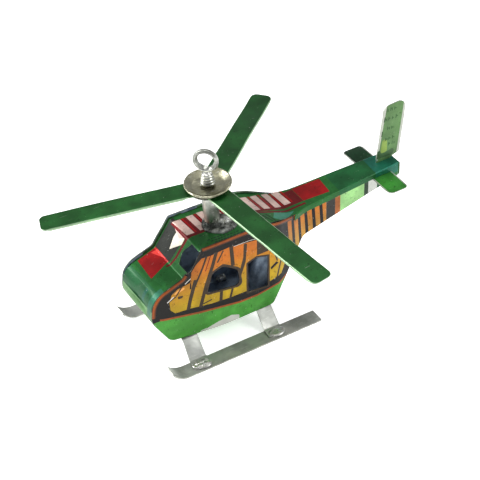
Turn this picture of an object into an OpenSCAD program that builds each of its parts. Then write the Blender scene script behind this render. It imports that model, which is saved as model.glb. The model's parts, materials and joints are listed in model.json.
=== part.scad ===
/* [Body] */
// Outside width of the cabin across its hemmed rims
cabin_w = 19.8; // [17:0.1:24]
// Height of the roof rim above the surface that the skids stand on
roof_z = 38.5; // [37.5:0.1:39.5]
// Height of the belly under the mast
belly_z = 5.6; // [5.2:0.1:6]
// Foremost point of the nose
nose_x = 26.2; // [25:0.1:28]
// Rear end of the tail boom
tail_x = -67; // [-70:0.5:-66.5]
// Width of the boom where it leaves the cabin
boom_w = 11; // [9:0.1:12]
// Width of the boom at its rear end
tail_w = 7.4; // [6:0.1:9]
// Height that the side panels stand above the hood and roof
rim_h = 0.8; // [0.5:0.1:1]
// Height of the hem folded out along the top of the side panels
hem_h = 1.2; // [1:0.1:1.6]
// Thickness of the printed tin
tin = 0.3; // [0.25:0.05:0.35]

/* [Rotor] */
// Distance from the mast's axis to a blade's tip
rotor_r = 50.2; // [45:0.1:54]
// Height of the underside of the blades' roots where the mast's axis meets them
rotor_z = 51.6; // [50:0.1:54]
// Blade width at the root
blade_root_w = 7.2; // [6:0.1:7.5]
// Blade width at the tip
blade_tip_w = 6.9; // [6:0.1:7.5]
// Forward lean of the mast, in degrees
mast_lean = 2.8; // [0:0.1:4]
// Droop of each blade, in degrees
blade_droop = 2.6; // [0:0.1:4]
// Angle of the first blade from straight ahead, in degrees
blade_turn = -18.4; // [-40:0.1:40]
// Angle from the first blade to the second, in degrees
second_step = 115.3; // [112:0.1:124]
// Angle from the first blade to the third, in degrees
third_step = 238.5; // [236:0.1:244]
// Length by which the second blade is longer than the others
second_extra = 2; // [0:0.1:2.5]
// Radius of the spindle wire
wire_r = 0.6; // [0.5:0.05:0.7]
// Radial running clearance of the rotor on the spindle
run_gap = 0.06; // [0.03:0.01:0.1]
// Free height above and below the turning rotor
rotor_gap = 0.3; // [0.25:0.05:0.5]

/* [Hanging eye] */
// Inner radius of the eye
eye_r = 2.5; // [2:0.05:3]
// Depth of the eye along its own axis
eye_depth = 2.2; // [1.6:0.1:2.6]
// Angle of the eye's axis from straight ahead, in degrees
eye_turn = 48; // [0:1:90]

/* [Skids and legs] */
// Distance between the inner edges of the skids
skid_gap = 27.5; // [25:0.5:30]
// Width of the skid and leg strips
strip_w = 5.2; // [4.5:0.1:6]
// Thickness of the skid and leg strips
strip_t = 0.4; // [0.3:0.05:0.5]
// Rear end of the skids
skid_rear_x = -27.7; // [-32:0.1:-24]
// Where the skids begin to curl up
skid_curl_x = 19.2; // [17.5:0.1:22]
// Radius of the curl
skid_curl_r = 7.2; // [6:0.1:9]
// Middle of the front leg strap
front_leg_x = 13.9; // [13:0.1:14.5]
// Middle of the rear leg strap
rear_leg_x = -12.4; // [-12.6:0.1:-8]

/* [Tail] */
// Span of the stabilizer
stabilizer_span = 26.4; // [20:0.2:30]
// Height of the stabilizer
stabilizer_z = 34.1; // [33.9:0.05:34.3]
// Top of the tail fin
fin_top_z = 57.2; // [50:0.1:60]

/* [Hidden] */

fine = 48;        // facets of small round pieces
arc_step = 9;     // degrees between the points of a bend
reach = 60;       // longer than any cut needs to be
tip_bend = 1.2;   // radius of a crisp bend in the tin

// ---- outlines: lists of [x, y, bend radius] -------------------------------------------------
function xy(p) = [p[0], p[1]];
function unit(v) = v / norm(v);
function turn(a, b) = a[0] * b[1] - a[1] * b[0];
function left(v) = [-v[1], v[0]];

// Arc that rounds the corner b between its neighbours a and c
function bend(a, b, c, r) =
    r <= 0 ? [b] :
    let (u = unit(a - b), v = unit(c - b), half = acos(u * v) / 2,
         mid = b + unit(u + v) * r / sin(half), from = b + u * r / tan(half) - mid,
         sweep = (180 - 2 * half) * sign(turn(-u, v)), steps = max(2, ceil(abs(sweep) / arc_step)))
    [for (i = [0 : steps]) let (w = i * sweep / steps)
        mid + [from[0] * cos(w) - from[1] * sin(w), from[0] * sin(w) + from[1] * cos(w)]];

// An open line with its inner corners rounded
function rounded_line(p) =
    [for (i = [0 : len(p) - 1])
        if (i == 0 || i == len(p) - 1) xy(p[i])
        else for (q = bend(xy(p[i - 1]), xy(p[i]), xy(p[i + 1]), p[i][2])) q];

// A closed outline with every corner rounded
function rounded(p) =
    [for (i = [0 : len(p) - 1])
        for (q = bend(xy(p[(i + len(p) - 1) % len(p)]), xy(p[i]), xy(p[(i + 1) % len(p)]), p[i][2])) q];

// Where the line through p along u meets the line through q along v
function meet(p, u, q, v) = abs(turn(u, v)) < 1e-6 ? q : p + u * (turn(q - p, v) / turn(u, v));

// Moves each edge i of an open line to its left by d[i]; bends keep the same centre
function moved_line(p, d) =
    let (n = len(p), u = [for (i = [0 : n - 2]) unit(xy(p[i + 1]) - xy(p[i]))])
    [for (i = [0 : n - 1])
        i == 0 ? concat(xy(p[0]) + left(u[0]) * d[0], 0) :
        i == n - 1 ? concat(xy(p[i]) + left(u[i - 1]) * d[i - 1], 0) :
        let (side = sign(turn(u[i - 1], u[i])), shift = (d[i - 1] + d[i]) / 2)
        concat(meet(xy(p[i]) + left(u[i - 1]) * d[i - 1], u[i - 1], xy(p[i]) + left(u[i]) * d[i], u[i]),
               p[i][2] <= 0 ? 0 : max(0.05, p[i][2] - side * shift))];

function all_of(p, d) = [for (i = [0 : len(p) - 2]) d];
function reversed(p) = [for (i = [len(p) - 1 : -1 : 0]) p[i]];

// Closed outline of a sheet that lies to the left of a line
function sheet(p, t) = concat(rounded_line(p), reversed(rounded_line(moved_line(p, all_of(p, t)))));

// ---- side view of the body, anticlockwise from the rear of the belly -------------------------
boom_top_z = tail_x + 103.6;      // top of the boom at its rear end
boom_low_z = boom_top_z - 5;      // underside of the boom at its rear end
chin = [20.5, belly_z + 2.3, 4];
nose_low = [nose_x + 0.2, 17.8, 6.5];
nose_high = [nose_x - 0.7, 26.3, 7.4];
hood_bend = [15.3, 30, tip_bend];
roof_bend = [9.2, roof_z, tip_bend];
roof_end = [-13, roof_z - 0.2, 10];
shoulder_end = [-26, 34.6, 10];
tail_top = [tail_x, boom_top_z, 0.8];
tail_low = [tail_x, boom_low_z, 0.5];
boom_root = [-29.3, 24.1, 3];
rear_heel = [-15.6, 6, 2.4];
belly_mid = [3, belly_z, 30];
seam_x = 15.4;                    // where the two strips meet under the chin
seam_z = belly_mid[1] + (chin[1] - belly_mid[1]) * (seam_x - belly_mid[0]) / (chin[0] - belly_mid[0]);
seam = [seam_x, seam_z, 0];
seam_gap = 0.1;

side_line = [belly_mid, chin, nose_low, nose_high, hood_bend, roof_bend, roof_end, shoulder_end];
top_edges = [0, 0, 0, rim_h, rim_h, rim_h, rim_h / 2, 0, 0];
top_line = moved_line([seam, chin, nose_low, nose_high, hood_bend, roof_bend, roof_end, shoulder_end,
                       tail_top, tail_low], top_edges);
belly_line = [[tail_x + tin, boom_low_z, 0], boom_root, rear_heel, belly_mid,
              [seam_x - seam_gap, seam_z, 0]];
// The side panels stop under the boom's top plate and inside the tail wrap
side_edges = [0, 0, 0, 0, 0, 0, 0, tin, tin];
side_outline = concat(
    moved_line(concat(side_line, [[tail_top[0], tail_top[1], 0.1], tail_low]), side_edges),
    [boom_root, rear_heel]);

// ---- plan view of one side, from the nose to the tail ----------------------------------------
side_y = cabin_w / 2 - tin;
plan_line = [[nose_x + 4, side_y, 0], [-17.5, side_y, 14], [-30, boom_w / 2 - tin, 14],
             [tail_x, tail_w / 2 - tin, 0]];
cover_x = -25.5;                  // the boom's top plate covers the side panels from here back
ear_x = -61.6;                    // the flange fills the boom's whole height from here back
flange_h = 1.4;

// Solid that holds a side-view outline, across the whole width
module across(points) { rotate([90, 0, 0]) linear_extrude(height = reach, center = true) polygon(points); }

// Solid that holds a plan-view outline, over the whole height
module upright(points) { linear_extrude(height = reach) polygon(points); }

// Everything inside a plan line, on both sides of the middle
function both_sides(line) = concat(rounded_line(line), [for (q = reversed(rounded_line(line))) [q[0], -q[1]]]);

// The part of a plan wall of thickness t, t0 outside the side panel's outer face
module plan_wall(t0, t) {
    upright(sheet(moved_line(plan_line, all_of(plan_line, -t0)), t));
}

module behind(x) { translate([x - 2 * reach, -reach, 0]) cube([2 * reach, 2 * reach, 2 * reach]); }

// ---- windows ---------------------------------------------------------------------------------
door_window = [[7.4, 20.9, 1], [5.4, 27.6, 1.4], [1.6, 28.9, 2.6], [-3.4, 25.4, 2.6], [-4.2, 19.2, 1.6]];
rear_window = [[-6.9, 14.9, 0.3], [-7, 26, 0.3], [-10, 27, 2], [-14.1, 25.8, 0.4], [-13.9, 14.1, 0.3]];
corner_cut = [[15.9, 30.9, 0.2], [12.4, 31.5, 1], [8.5, 37.9, 0.2], [9, 40, 0], [17.5, 40, 0]];
corner_low = [14.2, 30.4];        // lower edge of the windscreen opening
corner_inner_y = 4.3;             // its inner edge

// The port side has a door window and a rear window; the starboard side has only the rear one
module windows(port) {
    if (port) across(rounded(door_window));
    across(rounded(rear_window));
}

// Opening in the port half of the windscreen, its inner edge bowed towards the middle
module corner_opening() {
    rotate([90, 0, 90]) linear_extrude(height = reach) polygon(rounded([
        [cabin_w, 31.2, 0], [corner_inner_y, 31.2, 0.5], [corner_inner_y - 1.6, 34, 3],
        [corner_inner_y + 0.3, 37.6, 0.4], [cabin_w, 37.6, 0]]));
}

// ---- sheet-metal body ------------------------------------------------------------------------
module side_panel(port) {
    mirror([0, port ? 0 : 1, 0]) difference() {
        union() {
            intersection() { across(rounded(side_outline)); plan_wall(0, tin); }
            intersection() {
                across(sheet(side_line, hem_h));
                plan_wall(tin, tin);
                translate([cover_x + 1, 0, belly_z + 14]) cube(reach);
            }
        }
        windows(port);
        if (port) across(rounded(corner_cut));
        translate([stabilizer_x - 4.2, 0, stabilizer_z - 0.25]) cube([8.4, reach, 0.8]);
    }
}
module port_side() { color("darkorange") side_panel(true); }
module starboard_side() { color("darkorange") side_panel(false); }

// The boom plate's flanges, folded down outside the side panels
module flanges() {
    for (m = [0, 1]) mirror([0, m, 0]) intersection() {
        plan_wall(tin, tin);
        behind(cover_x);
        across(concat(
            [[cover_x, 34.6], [tail_x, boom_top_z], [tail_x, boom_low_z + 0.4], [ear_x, boom_low_z + 0.9]],
            [[ear_x - 0.6, boom_top_z - flange_h], [cover_x, 34.6 - flange_h]]));
    }
}

module top_strip() {
    color("forestgreen") difference() {
        union() {
            intersection() {
                across(sheet(top_line, tin));
                union() {
                    upright(both_sides(moved_line(plan_line, all_of(plan_line, tin))));
                    intersection() {
                        upright(both_sides(moved_line(plan_line, all_of(plan_line, -tin))));
                        behind(cover_x);
                    }
                }
            }
            flanges();
        }
        corner_opening();
        mast_frame() translate([0, 0, -3]) cylinder(r = wire_r + 0.1, h = 6, $fn = fine);
        translate([tail_x + 0.9, -fin_slot_w / 2, boom_top_z - 4]) cube([fin_slot_len, fin_slot_w, 8]);
        for (m = [0, 1]) mirror([0, m, 0])
            translate([stabilizer_x - 4.2, 0, stabilizer_z - 0.25]) cube([8.4, reach, 0.8]);
    }
}

module belly_strip() {
    color("limegreen") intersection() {
        across(sheet(belly_line, tin));
        upright(both_sides(moved_line(plan_line, all_of(plan_line, tin))));
    }
}

// ---- solder: low domes and small bars --------------------------------------------------------
// A dome of radius r and height h that stands on z = 0
module dome(r, h) {
    ball = (r * r + h * h) / (2 * h);
    rotate_extrude($fn = fine) intersection() {
        translate([0, h - ball]) circle(r = ball, $fn = 2 * fine);
        square([r, h]);
    }
}

module nose_seam_solder() {
    bar = [3, 3.4, 0.3];
    color("silver") translate([seam_x, 0, seam_z])
        rotate([0, -atan((chin[1] - belly_mid[1]) / (chin[0] - belly_mid[0])), 0])
        for (y = [-5, 0, 5]) translate([0, y, tin + 0.05 + bar[2] / 2]) cube(bar, center = true);
}

// Four tacks inside the cabin that hold the side panels to the belly strip
module side_seam_solder() {
    tack = 1.6;
    long = 3;
    color("silver") for (m = [0, 1], at = [[-9, 0.6], [6, 1.4]]) mirror([0, m, 0])
        translate([at[0], side_y - tin, belly_mid[1] + tin + at[1]]) rotate([0, 90, 0])
        intersection() {
            cylinder(r = tack, h = long, $fn = fine);
            translate([-2 * tack, -2 * tack, 0]) cube([2 * tack, 2 * tack, long]);
        }
}

// ---- tail ------------------------------------------------------------------------------------
stabilizer_x = -59.8;
fin_x = -64.6;                    // middle of the fin's chord at the boom
fin_slot_len = 8.6;
fin_slot_w = 0.8;

module tail_fin() {
    notch_x = stabilizer_x - 3.9;
    color("yellowgreen") difference() {
        across_sheet(tin, rounded([
            [tail_x + 1.2, boom_low_z + 1, 0.2], [tail_x + 6.8, boom_low_z + 1, 0.2],
            [tail_x + 6.8, boom_top_z + 1, 0.1], [tail_x + 4.5, fin_top_z - 0.6, 2.6],
            [tail_x - 3.8, fin_top_z, 2.6], [tail_x - 1.7, boom_top_z + 1.4, 0.3],
            [tail_x + 1.2, boom_top_z + 0.4, 0.1]]));
        translate([notch_x, -1, boom_low_z - 1]) cube([9, 2, stabilizer_z + 0.6 - boom_low_z + 1]);
    }
}

// A sheet of thickness t in the middle plane
module across_sheet(t, points) { rotate([90, 0, 0]) linear_extrude(height = t, center = true) polygon(points); }

module stabilizer() {
    half = stabilizer_span / 2;
    chord = 3.6;
    color("green") translate([stabilizer_x, 0, stabilizer_z]) linear_extrude(height = tin)
        polygon(rounded([[-chord, -half, 1.4], [chord, -half, 1.4], [chord, half, 2], [-chord, half, 1.4]]));
}

// Solder inside the boom that joins the fin to the stabilizer
module tail_solder() {
    color("silver") for (m = [0, 1]) mirror([0, m, 0])
        translate([tail_x + 3.4, tin / 2, stabilizer_z + tin + 0.32]) difference() {
            cube([2.2, 1.1, 1.1]);
            translate([-1, 1.1, 1.1]) rotate([0, 90, 0]) cylinder(r = 0.8, h = 5, $fn = fine);
        }
}

// ---- mast and spindle, drawn along the mast's own axis ---------------------------------------
roof_in_z = roof_z - rim_h;       // top face of the roof plate
disc_t = 0.3;
mast_h = (rotor_z - roof_in_z) / cos(mast_lean);
mast_foot_x = -(rotor_z - roof_in_z) * tan(mast_lean);
tube_top_h = mast_h - disc_t - rotor_gap;
tube_foot_r = 2.2;
tube_top_r = 2.5;

module mast_frame() { translate([mast_foot_x, 0, roof_in_z]) rotate([0, mast_lean, 0]) children(); }

foot_r = 3.2;                     // radius of the tube's foot flange
foot_up = 0.2;                    // the flange stands clear of the roof on its low side

module mast_tube() {
    color("silver") mast_frame() translate([0, 0, foot_up]) difference() {
        union() {
            cylinder(r1 = tube_foot_r, r2 = tube_top_r, h = tube_top_h - foot_up, $fn = fine);
            cylinder(r = foot_r, h = tin, $fn = fine);
        }
        translate([0, 0, -1]) cylinder(r = tube_foot_r - tin, h = mast_h + 2, $fn = fine);
    }
}

// Apron of solder on the roof, off centre, and the fillet on top of the tube's foot flange
apron = [-1.6, 1, 5.2, 1.6];      // its middle in x and y, its radius and its height
module mast_solder() {
    flange_top = foot_up + tin + 0.02;
    rise = 1.2;
    color("gray") {
        difference() {
            translate([apron[0], apron[1], roof_in_z + 0.03]) dome(apron[2], apron[3]);
            mast_frame() translate([0, 0, -1]) cylinder(r = foot_r + 0.05, h = 5, $fn = fine);
        }
        mast_frame() translate([0, 0, flange_top]) rotate_extrude($fn = fine) polygon(concat(
            [[tube_foot_r + 0.06, 0]],
            [for (a = [0 : 15 : 90]) [foot_r - (foot_r - tube_foot_r - 0.08) * sin(a), rise * (1 - cos(a))]]));
    }
}

// A round bead that stands on the apron
module solder_bead() {
    out = [-2.6, 1.6];
    ball = (apron[2] * apron[2] + apron[3] * apron[3]) / (2 * apron[3]);
    up = sqrt(ball * ball - out * out) - ball + apron[3];
    color("silver") difference() {
        translate([apron[0] + out[0], apron[1] + out[1], roof_in_z + up - 0.4]) dome(0.9, 1.1);
        translate([apron[0], apron[1], roof_in_z + 0.08]) dome(apron[2] + 0.5, apron[3]);
    }
}

module spindle_wire() {
    foot = 2.4;                   // length of wire below the roof
    eye_mid = rotor_h_to_eye;
    wall = 1.5;                   // radial thickness of the eye
    soft = 0.45;                  // radius of its outer edges
    color("silver") mast_frame() {
        translate([0, 0, -foot]) cylinder(r = wire_r, h = foot + eye_mid - eye_r - wall / 2, $fn = fine);
        translate([0, 0, eye_mid]) rotate([0, 0, eye_turn]) rotate([0, 90, 0]) rotate_extrude($fn = fine)
            polygon(rounded([
                [eye_r, -eye_depth / 2, 0], [eye_r + wall, -eye_depth / 2, soft],
                [eye_r + wall, eye_depth / 2, soft], [eye_r, eye_depth / 2, 0]]));
    }
}
rotor_h_to_eye = mast_h + 9.9;    // height of the eye's centre along the mast

// Solder that centres the wire in the mouth of the tube
module spindle_plug() {
    color("gray") mast_frame() translate([0, 0, tube_top_h - 2.2]) difference() {
        cylinder(r = tube_foot_r - tin, h = 1.8, $fn = fine);
        translate([0, 0, -1]) cylinder(r = wire_r, h = 4, $fn = fine);
    }
}

// Solder under the roof that keeps the wire from pulling out
module spindle_anchor() {
    color("gray") mast_frame() translate([0, 0, -tin - 0.25]) mirror([0, 0, 1]) difference() {
        dome(2, 1.3);
        translate([0, 0, -1]) cylinder(r = wire_r, h = 4, $fn = fine);
    }
}

// Wire wound round the spindle in a cone, which keeps the rotor on
module shank_wrap() {
    wrap_h = 4.6;
    low_r = 2.5;
    top_r = 1.1;
    color("silver") mast_frame() translate([0, 0, mast_h + disc_t + tin + rotor_gap]) difference() {
        cylinder(r1 = low_r, r2 = top_r, h = wrap_h, $fn = fine);
        translate([0, 0, -1]) cylinder(r = wire_r, h = wrap_h + 2, $fn = fine);
    }
}

// ---- rotor, drawn about the mast's axis with the blades' undersides at z = 0 ------------------
module rotor_frame() { mast_frame() translate([0, 0, mast_h]) children(); }

module spindle_hole() { translate([0, 0, -5]) cylinder(r = wire_r + run_gap, h = 10, $fn = fine); }

module lower_hub_disc() {
    color("silver") rotor_frame() difference() {
        translate([0, 0, -disc_t]) cylinder(r = 6.2, h = disc_t, $fn = 2 * fine);
        spindle_hole();
    }
}

// Shallow dish with a flat floor, a flared side and a rolled rim
module upper_hub_disc() {
    floor_r = 4.9;
    rim_r = 6.95;
    rim_up = 1.25;
    bead = 0.32;
    color("darkkhaki") rotor_frame() translate([0, 0, tin]) difference() {
        rotate_extrude($fn = 2 * fine) {
            polygon(sheet([[0, 0, 0], [floor_r, 0, 1.6], [rim_r, rim_up, 0]], disc_t));
            translate([rim_r - 0.1, rim_up + 0.1]) circle(r = bead, $fn = 24);
        }
        spindle_hole();
    }
}

// One blade: a flat root between the discs, then a shallow channel that droops to the tip
module blade(turn_by, extra = 0) {
    root_r = 2.5;
    bend_r = 7.3;
    lip = 0.45;                   // depth of the folded edges
    fold = 0.35;                  // their thickness
    corner = 1.7;
    long = rotor_r + extra - bend_r;
    color("green") rotor_frame() rotate([0, 0, turn_by]) {
        linear_extrude(height = tin) polygon([
            [root_r, -blade_root_w / 2], [bend_r, -blade_root_w / 2],
            [bend_r, blade_root_w / 2], [root_r, blade_root_w / 2]]);
        translate([bend_r, 0, 0]) rotate([0, blade_droop, 0]) {
            linear_extrude(height = tin) polygon(rounded([
                [-0.01, -blade_root_w / 2, 0], [long, -blade_tip_w / 2, corner],
                [long, blade_tip_w / 2, corner], [-0.01, blade_root_w / 2, 0]]));
            for (s = [-1, 1]) translate([0, 0, -lip]) linear_extrude(height = lip + 0.1) polygon([
                [0.3, s * blade_root_w / 2], [long - corner, s * (blade_tip_w / 2 + 0.005)],
                [long - corner, s * (blade_tip_w / 2 + 0.005 - fold)], [0.3, s * (blade_root_w / 2 - fold)]]);
        }
    }
}
module rotor_blade_1() { blade(blade_turn); }
module rotor_blade_2() { blade(blade_turn + second_step, second_extra); }
module rotor_blade_3() { blade(blade_turn + third_step); }

// Solder between the discs in the gaps between the blades' roots
module blade_solder() {
    gaps = [second_step / 2, (second_step + third_step) / 2, (third_step + 360) / 2];
    color("gray") rotor_frame() for (gap = gaps) rotate([0, 0, blade_turn + gap])
        translate([0, 0, 0.01]) linear_extrude(height = tin - 0.02)
        polygon([[4.45, 0], [5.6, -0.6], [5.6, 0.6]]);
}

// ---- legs and skids --------------------------------------------------------------------------
leg_reach = skid_gap / 2 - 0.2;   // where a leg meets the skid
foot_len = 4.3;

// Front view of a leg strap whose middle lies at height z, drawn as [y, z, radius]
function leg_line(z) = [[leg_reach + foot_len, strip_t, 0], [leg_reach, strip_t, 1.2], [side_y - 0.6, z, 1.6],
                        [0.6 - side_y, z, 1.6], [-leg_reach, strip_t, 1.2], [-leg_reach - foot_len, strip_t, 0]];

module leg_strap(x, z) {
    color("silver") translate([x - strip_w / 2, 0, 0]) rotate([90, 0, 90])
        linear_extrude(height = strip_w) polygon(sheet(leg_line(z), -strip_t));
}
// Underside of the belly behind its middle, at x
function belly_at(x) = belly_z + (rear_heel[1] - belly_z) * (belly_mid[0] - x) / (belly_mid[0] - rear_heel[0]);
rear_strap_top = belly_at(rear_leg_x + strip_w / 2) - 0.02;
front_strap_top = belly_z + 0.82;
module front_leg_strap() { leg_strap(front_leg_x, front_strap_top - strip_t); }
module rear_leg_strap() { leg_strap(rear_leg_x, rear_strap_top - strip_t); }

// Solder between the straps and the belly: a wedge in front, two fillets behind
module leg_solder() {
    pad = 14;                     // length across the belly
    fillet = 0.7;
    gap = 0.05;
    color("gray") {
        difference() {
            translate([front_leg_x - strip_w / 2, -pad / 2, front_strap_top]) cube([strip_w, pad, 2]);
            across([[0, belly_z - 0.46], [chin[0], chin[1] - 0.06], [chin[0], 20], [0, 20]]);
        }
        for (x = [rear_leg_x - strip_w / 2 - fillet - gap, rear_leg_x + strip_w / 2 + gap])
            difference() {
                translate([x, -pad / 2, rear_strap_top - strip_t]) cube([fillet, pad, 2]);
                translate([0, 0, -gap]) across(rounded([
                    boom_root, rear_heel, belly_mid, [chin[0], chin[1], 0], [chin[0], 24, 0]]));
            }
    }
}

// Blobs of solder on the feet where they lie on the skids
module foot_solder() {
    color("gray") for (m = [0, 1], x = [front_leg_x, rear_leg_x]) mirror([0, m, 0])
        translate([x, leg_reach + 2.9, 2 * strip_t]) dome(1.7, 0.55);
}

// Side view of a skid: straight, then curled up through most of a quarter turn
module skid(port) {
    curl = 56;                    // degrees of curl
    top = concat([[skid_rear_x, strip_t]],
                 [for (a = [0 : 8 : curl]) [skid_curl_x + (skid_curl_r - strip_t) * sin(a),
                                            skid_curl_r - (skid_curl_r - strip_t) * cos(a)]]);
    low = concat([[skid_rear_x, 0]],
                 [for (a = [0 : 8 : curl]) [skid_curl_x + skid_curl_r * sin(a),
                                            skid_curl_r - skid_curl_r * cos(a)]]);
    color("silver") mirror([0, port ? 0 : 1, 0])
        translate([0, skid_gap / 2 + strip_w, 0]) rotate([90, 0, 0])
        linear_extrude(height = strip_w) polygon(concat(low, reversed(top)));
}
module port_skid() { skid(true); }
module starboard_skid() { skid(false); }

top_strip();
belly_strip();
port_side();
starboard_side();
nose_seam_solder();
side_seam_solder();
tail_solder();
mast_tube();
mast_solder();
solder_bead();
spindle_wire();
spindle_plug();
spindle_anchor();
shank_wrap();
lower_hub_disc();
upper_hub_disc();
rotor_blade_1();
rotor_blade_2();
rotor_blade_3();
blade_solder();
front_leg_strap();
rear_leg_strap();
leg_solder();
foot_solder();
port_skid();
starboard_skid();
tail_fin();
stabilizer();
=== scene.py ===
"""Looks of the tin helicopter: printed sheets, blades, spindle, solder, materials and studio.

Lengths in the dataclasses are in millimetres; meshes are written in metres, in the part's frame:
+X is the nose, +Y is port, +Z is up and the skids stand on z = 0.
"""

import json
import logging
import math
from collections.abc import Callable, Sequence
from dataclasses import dataclass, field
from enum import Enum

import bpy
import numpy as np
from mathutils import Matrix, Vector
from mathutils.geometry import delaunay_2d_cdt

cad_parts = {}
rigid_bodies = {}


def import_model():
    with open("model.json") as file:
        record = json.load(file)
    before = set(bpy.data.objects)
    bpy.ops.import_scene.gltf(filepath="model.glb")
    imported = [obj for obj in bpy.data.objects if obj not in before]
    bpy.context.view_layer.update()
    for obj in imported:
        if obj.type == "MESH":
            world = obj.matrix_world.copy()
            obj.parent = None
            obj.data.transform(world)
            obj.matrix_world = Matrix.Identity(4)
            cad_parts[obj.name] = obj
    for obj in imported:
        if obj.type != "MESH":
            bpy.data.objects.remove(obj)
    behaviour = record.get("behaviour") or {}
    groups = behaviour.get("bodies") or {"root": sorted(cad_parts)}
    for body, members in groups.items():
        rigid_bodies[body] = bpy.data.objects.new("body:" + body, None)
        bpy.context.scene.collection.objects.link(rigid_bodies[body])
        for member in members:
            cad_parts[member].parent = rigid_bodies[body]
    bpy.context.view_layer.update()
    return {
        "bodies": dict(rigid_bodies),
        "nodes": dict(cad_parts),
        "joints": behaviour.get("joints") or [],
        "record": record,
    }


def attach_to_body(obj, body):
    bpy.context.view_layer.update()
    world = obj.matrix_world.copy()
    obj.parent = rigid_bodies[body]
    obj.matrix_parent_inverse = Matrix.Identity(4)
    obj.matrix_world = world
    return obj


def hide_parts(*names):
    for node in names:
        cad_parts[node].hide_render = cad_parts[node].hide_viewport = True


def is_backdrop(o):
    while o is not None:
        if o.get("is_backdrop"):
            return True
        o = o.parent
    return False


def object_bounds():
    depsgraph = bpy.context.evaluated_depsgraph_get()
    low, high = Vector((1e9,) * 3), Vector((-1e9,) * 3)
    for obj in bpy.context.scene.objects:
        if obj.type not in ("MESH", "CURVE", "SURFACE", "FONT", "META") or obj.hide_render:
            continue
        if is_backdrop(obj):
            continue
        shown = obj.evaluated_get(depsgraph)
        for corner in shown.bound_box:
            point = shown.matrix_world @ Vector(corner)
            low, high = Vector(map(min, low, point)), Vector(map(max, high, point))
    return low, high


MM = 0.001
LOG = logging.getLogger("tin_helicopter")
SLOPE_STEP = 0.05

Corner = tuple[float, float, float]
Point = tuple[float, float]
Colour = tuple[float, float, float, float]
Lift = Callable[[np.ndarray, np.ndarray], np.ndarray]


class Side(Enum):
    """A side of the helicopter, as the sign of y."""

    PORT = 1.0
    STARBOARD = -1.0


class Body(Enum):
    """The CAD bodies that pieces ride on."""

    FUSELAGE = "fuselage"
    ROTOR = "rotor"


def ink(red: int, green: int, blue: int, bare: float = 0.0) -> Colour:
    """Gives a printing ink as linear colour.

    Args:
        red: Red of the ink, 0 to 255 as seen on a screen.
        green: Green of the ink.
        blue: Blue of the ink.
        bare: Share of bare metal that shows, 0 to 1.

    Returns:
        Linear red, green and blue, and the bare share in place of alpha.
    """
    parts = [((c / 255 + 0.055) / 1.055) ** 2.4 if c > 10 else c / 255 / 12.92 for c in (red, green, blue)]
    return (parts[0], parts[1], parts[2], bare)


# ---- inks of the printed tin -----------------------------------------------------------------
LEAF = ink(34, 98, 42)
DEEP_LEAF = ink(22, 84, 44)
TEAL = ink(26, 104, 84)
PALE_LEAF = ink(150, 200, 128)
BRIGHT_LEAF = ink(72, 150, 56)
RIM_LEAF = ink(84, 136, 80, 0.1)
COAL = ink(16, 14, 12)
RUST = ink(150, 76, 30)
AMBER = ink(180, 100, 28)
HONEY = ink(180, 148, 22)
UMBER = ink(58, 46, 32)
SCARLET = ink(152, 14, 16)
# Painted highlight: a lighter red for the facet of the hood's red block next to the bend.
SCARLET_PAINTED_HIGHLIGHT = ink(214, 62, 56)
OXBLOOD = ink(104, 14, 18)
CREAM = ink(240, 234, 214)
BLUSH = ink(214, 186, 176)
BARE = ink(190, 190, 182, 1.0)
INSIDE = ink(60, 66, 68, 0.4)


# ---- small geometry helpers ------------------------------------------------------------------
def rounded(points: Sequence[Corner], closed: bool = True, turn: float = 7.0) -> list[Point]:
    """Rounds the corners of a line.

    Args:
        points: Corners, each with its bend radius.
        closed: Whether the last corner joins the first.
        turn: Largest turn between two points of an arc, in degrees.

    Returns:
        The points of the rounded line.
    """
    made: list[Point] = []
    count = len(points)
    for i, (x, z, radius) in enumerate(points):
        if radius <= 0 or (not closed and i in (0, count - 1)):
            made.append((x, z))
            continue
        here = np.array((x, z))
        back = np.array(points[i - 1][:2]) - here
        ahead = np.array(points[(i + 1) % count][:2]) - here
        reach_back, reach_ahead = np.linalg.norm(back), np.linalg.norm(ahead)
        back, ahead = back / reach_back, ahead / reach_ahead
        half = math.acos(float(np.clip(back @ ahead, -1, 1))) / 2
        if half > math.pi / 2 - 0.003:
            made.append((x, z))
            continue
        cut = min(radius / math.tan(half), 0.49 * reach_back, 0.49 * reach_ahead)
        real = cut * math.tan(half)
        middle = (back + ahead) / np.linalg.norm(back + ahead)
        centre = here + middle * (real / math.sin(half))
        first, last = here + back * cut - centre, here + ahead * cut - centre
        start = math.atan2(first[1], first[0])
        swing = (math.atan2(last[1], last[0]) - start + math.pi) % (2 * math.pi) - math.pi
        steps = max(2, math.ceil(abs(math.degrees(swing)) / turn))
        for k in range(steps + 1):
            angle = start + swing * k / steps
            made.append((centre[0] + real * math.cos(angle), centre[1] + real * math.sin(angle)))
    return made


def moved(points: Sequence[Corner], inward: Sequence[float]) -> list[Corner]:
    """Moves each edge of an open line towards its left side.

    Args:
        points: Corners of the line, each with its bend radius.
        inward: Distance of each edge, one fewer than the corners.

    Returns:
        The corners of the moved line, with their radii.
    """
    places = [np.array(p[:2]) for p in points]
    runs = [(b - a) / np.linalg.norm(b - a) for a, b in zip(places, places[1:])]
    lefts = [np.array((-d[1], d[0])) for d in runs]
    made: list[Corner] = []
    for i, place in enumerate(places):
        if i in (0, len(places) - 1):
            edge = min(i, len(runs) - 1)
            spot = place + lefts[edge] * inward[edge]
        else:
            a, b = i - 1, i
            start_a, start_b = place + lefts[a] * inward[a], place + lefts[b] * inward[b]
            cross = runs[a][0] * runs[b][1] - runs[a][1] * runs[b][0]
            if abs(cross) < 0.02:
                spot = (start_a + start_b) / 2
            else:
                gap = start_b - start_a
                spot = start_a + runs[a] * ((gap[0] * runs[b][1] - gap[1] * runs[b][0]) / cross)
        made.append((float(spot[0]), float(spot[1]), points[i][2]))
    return made


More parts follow.
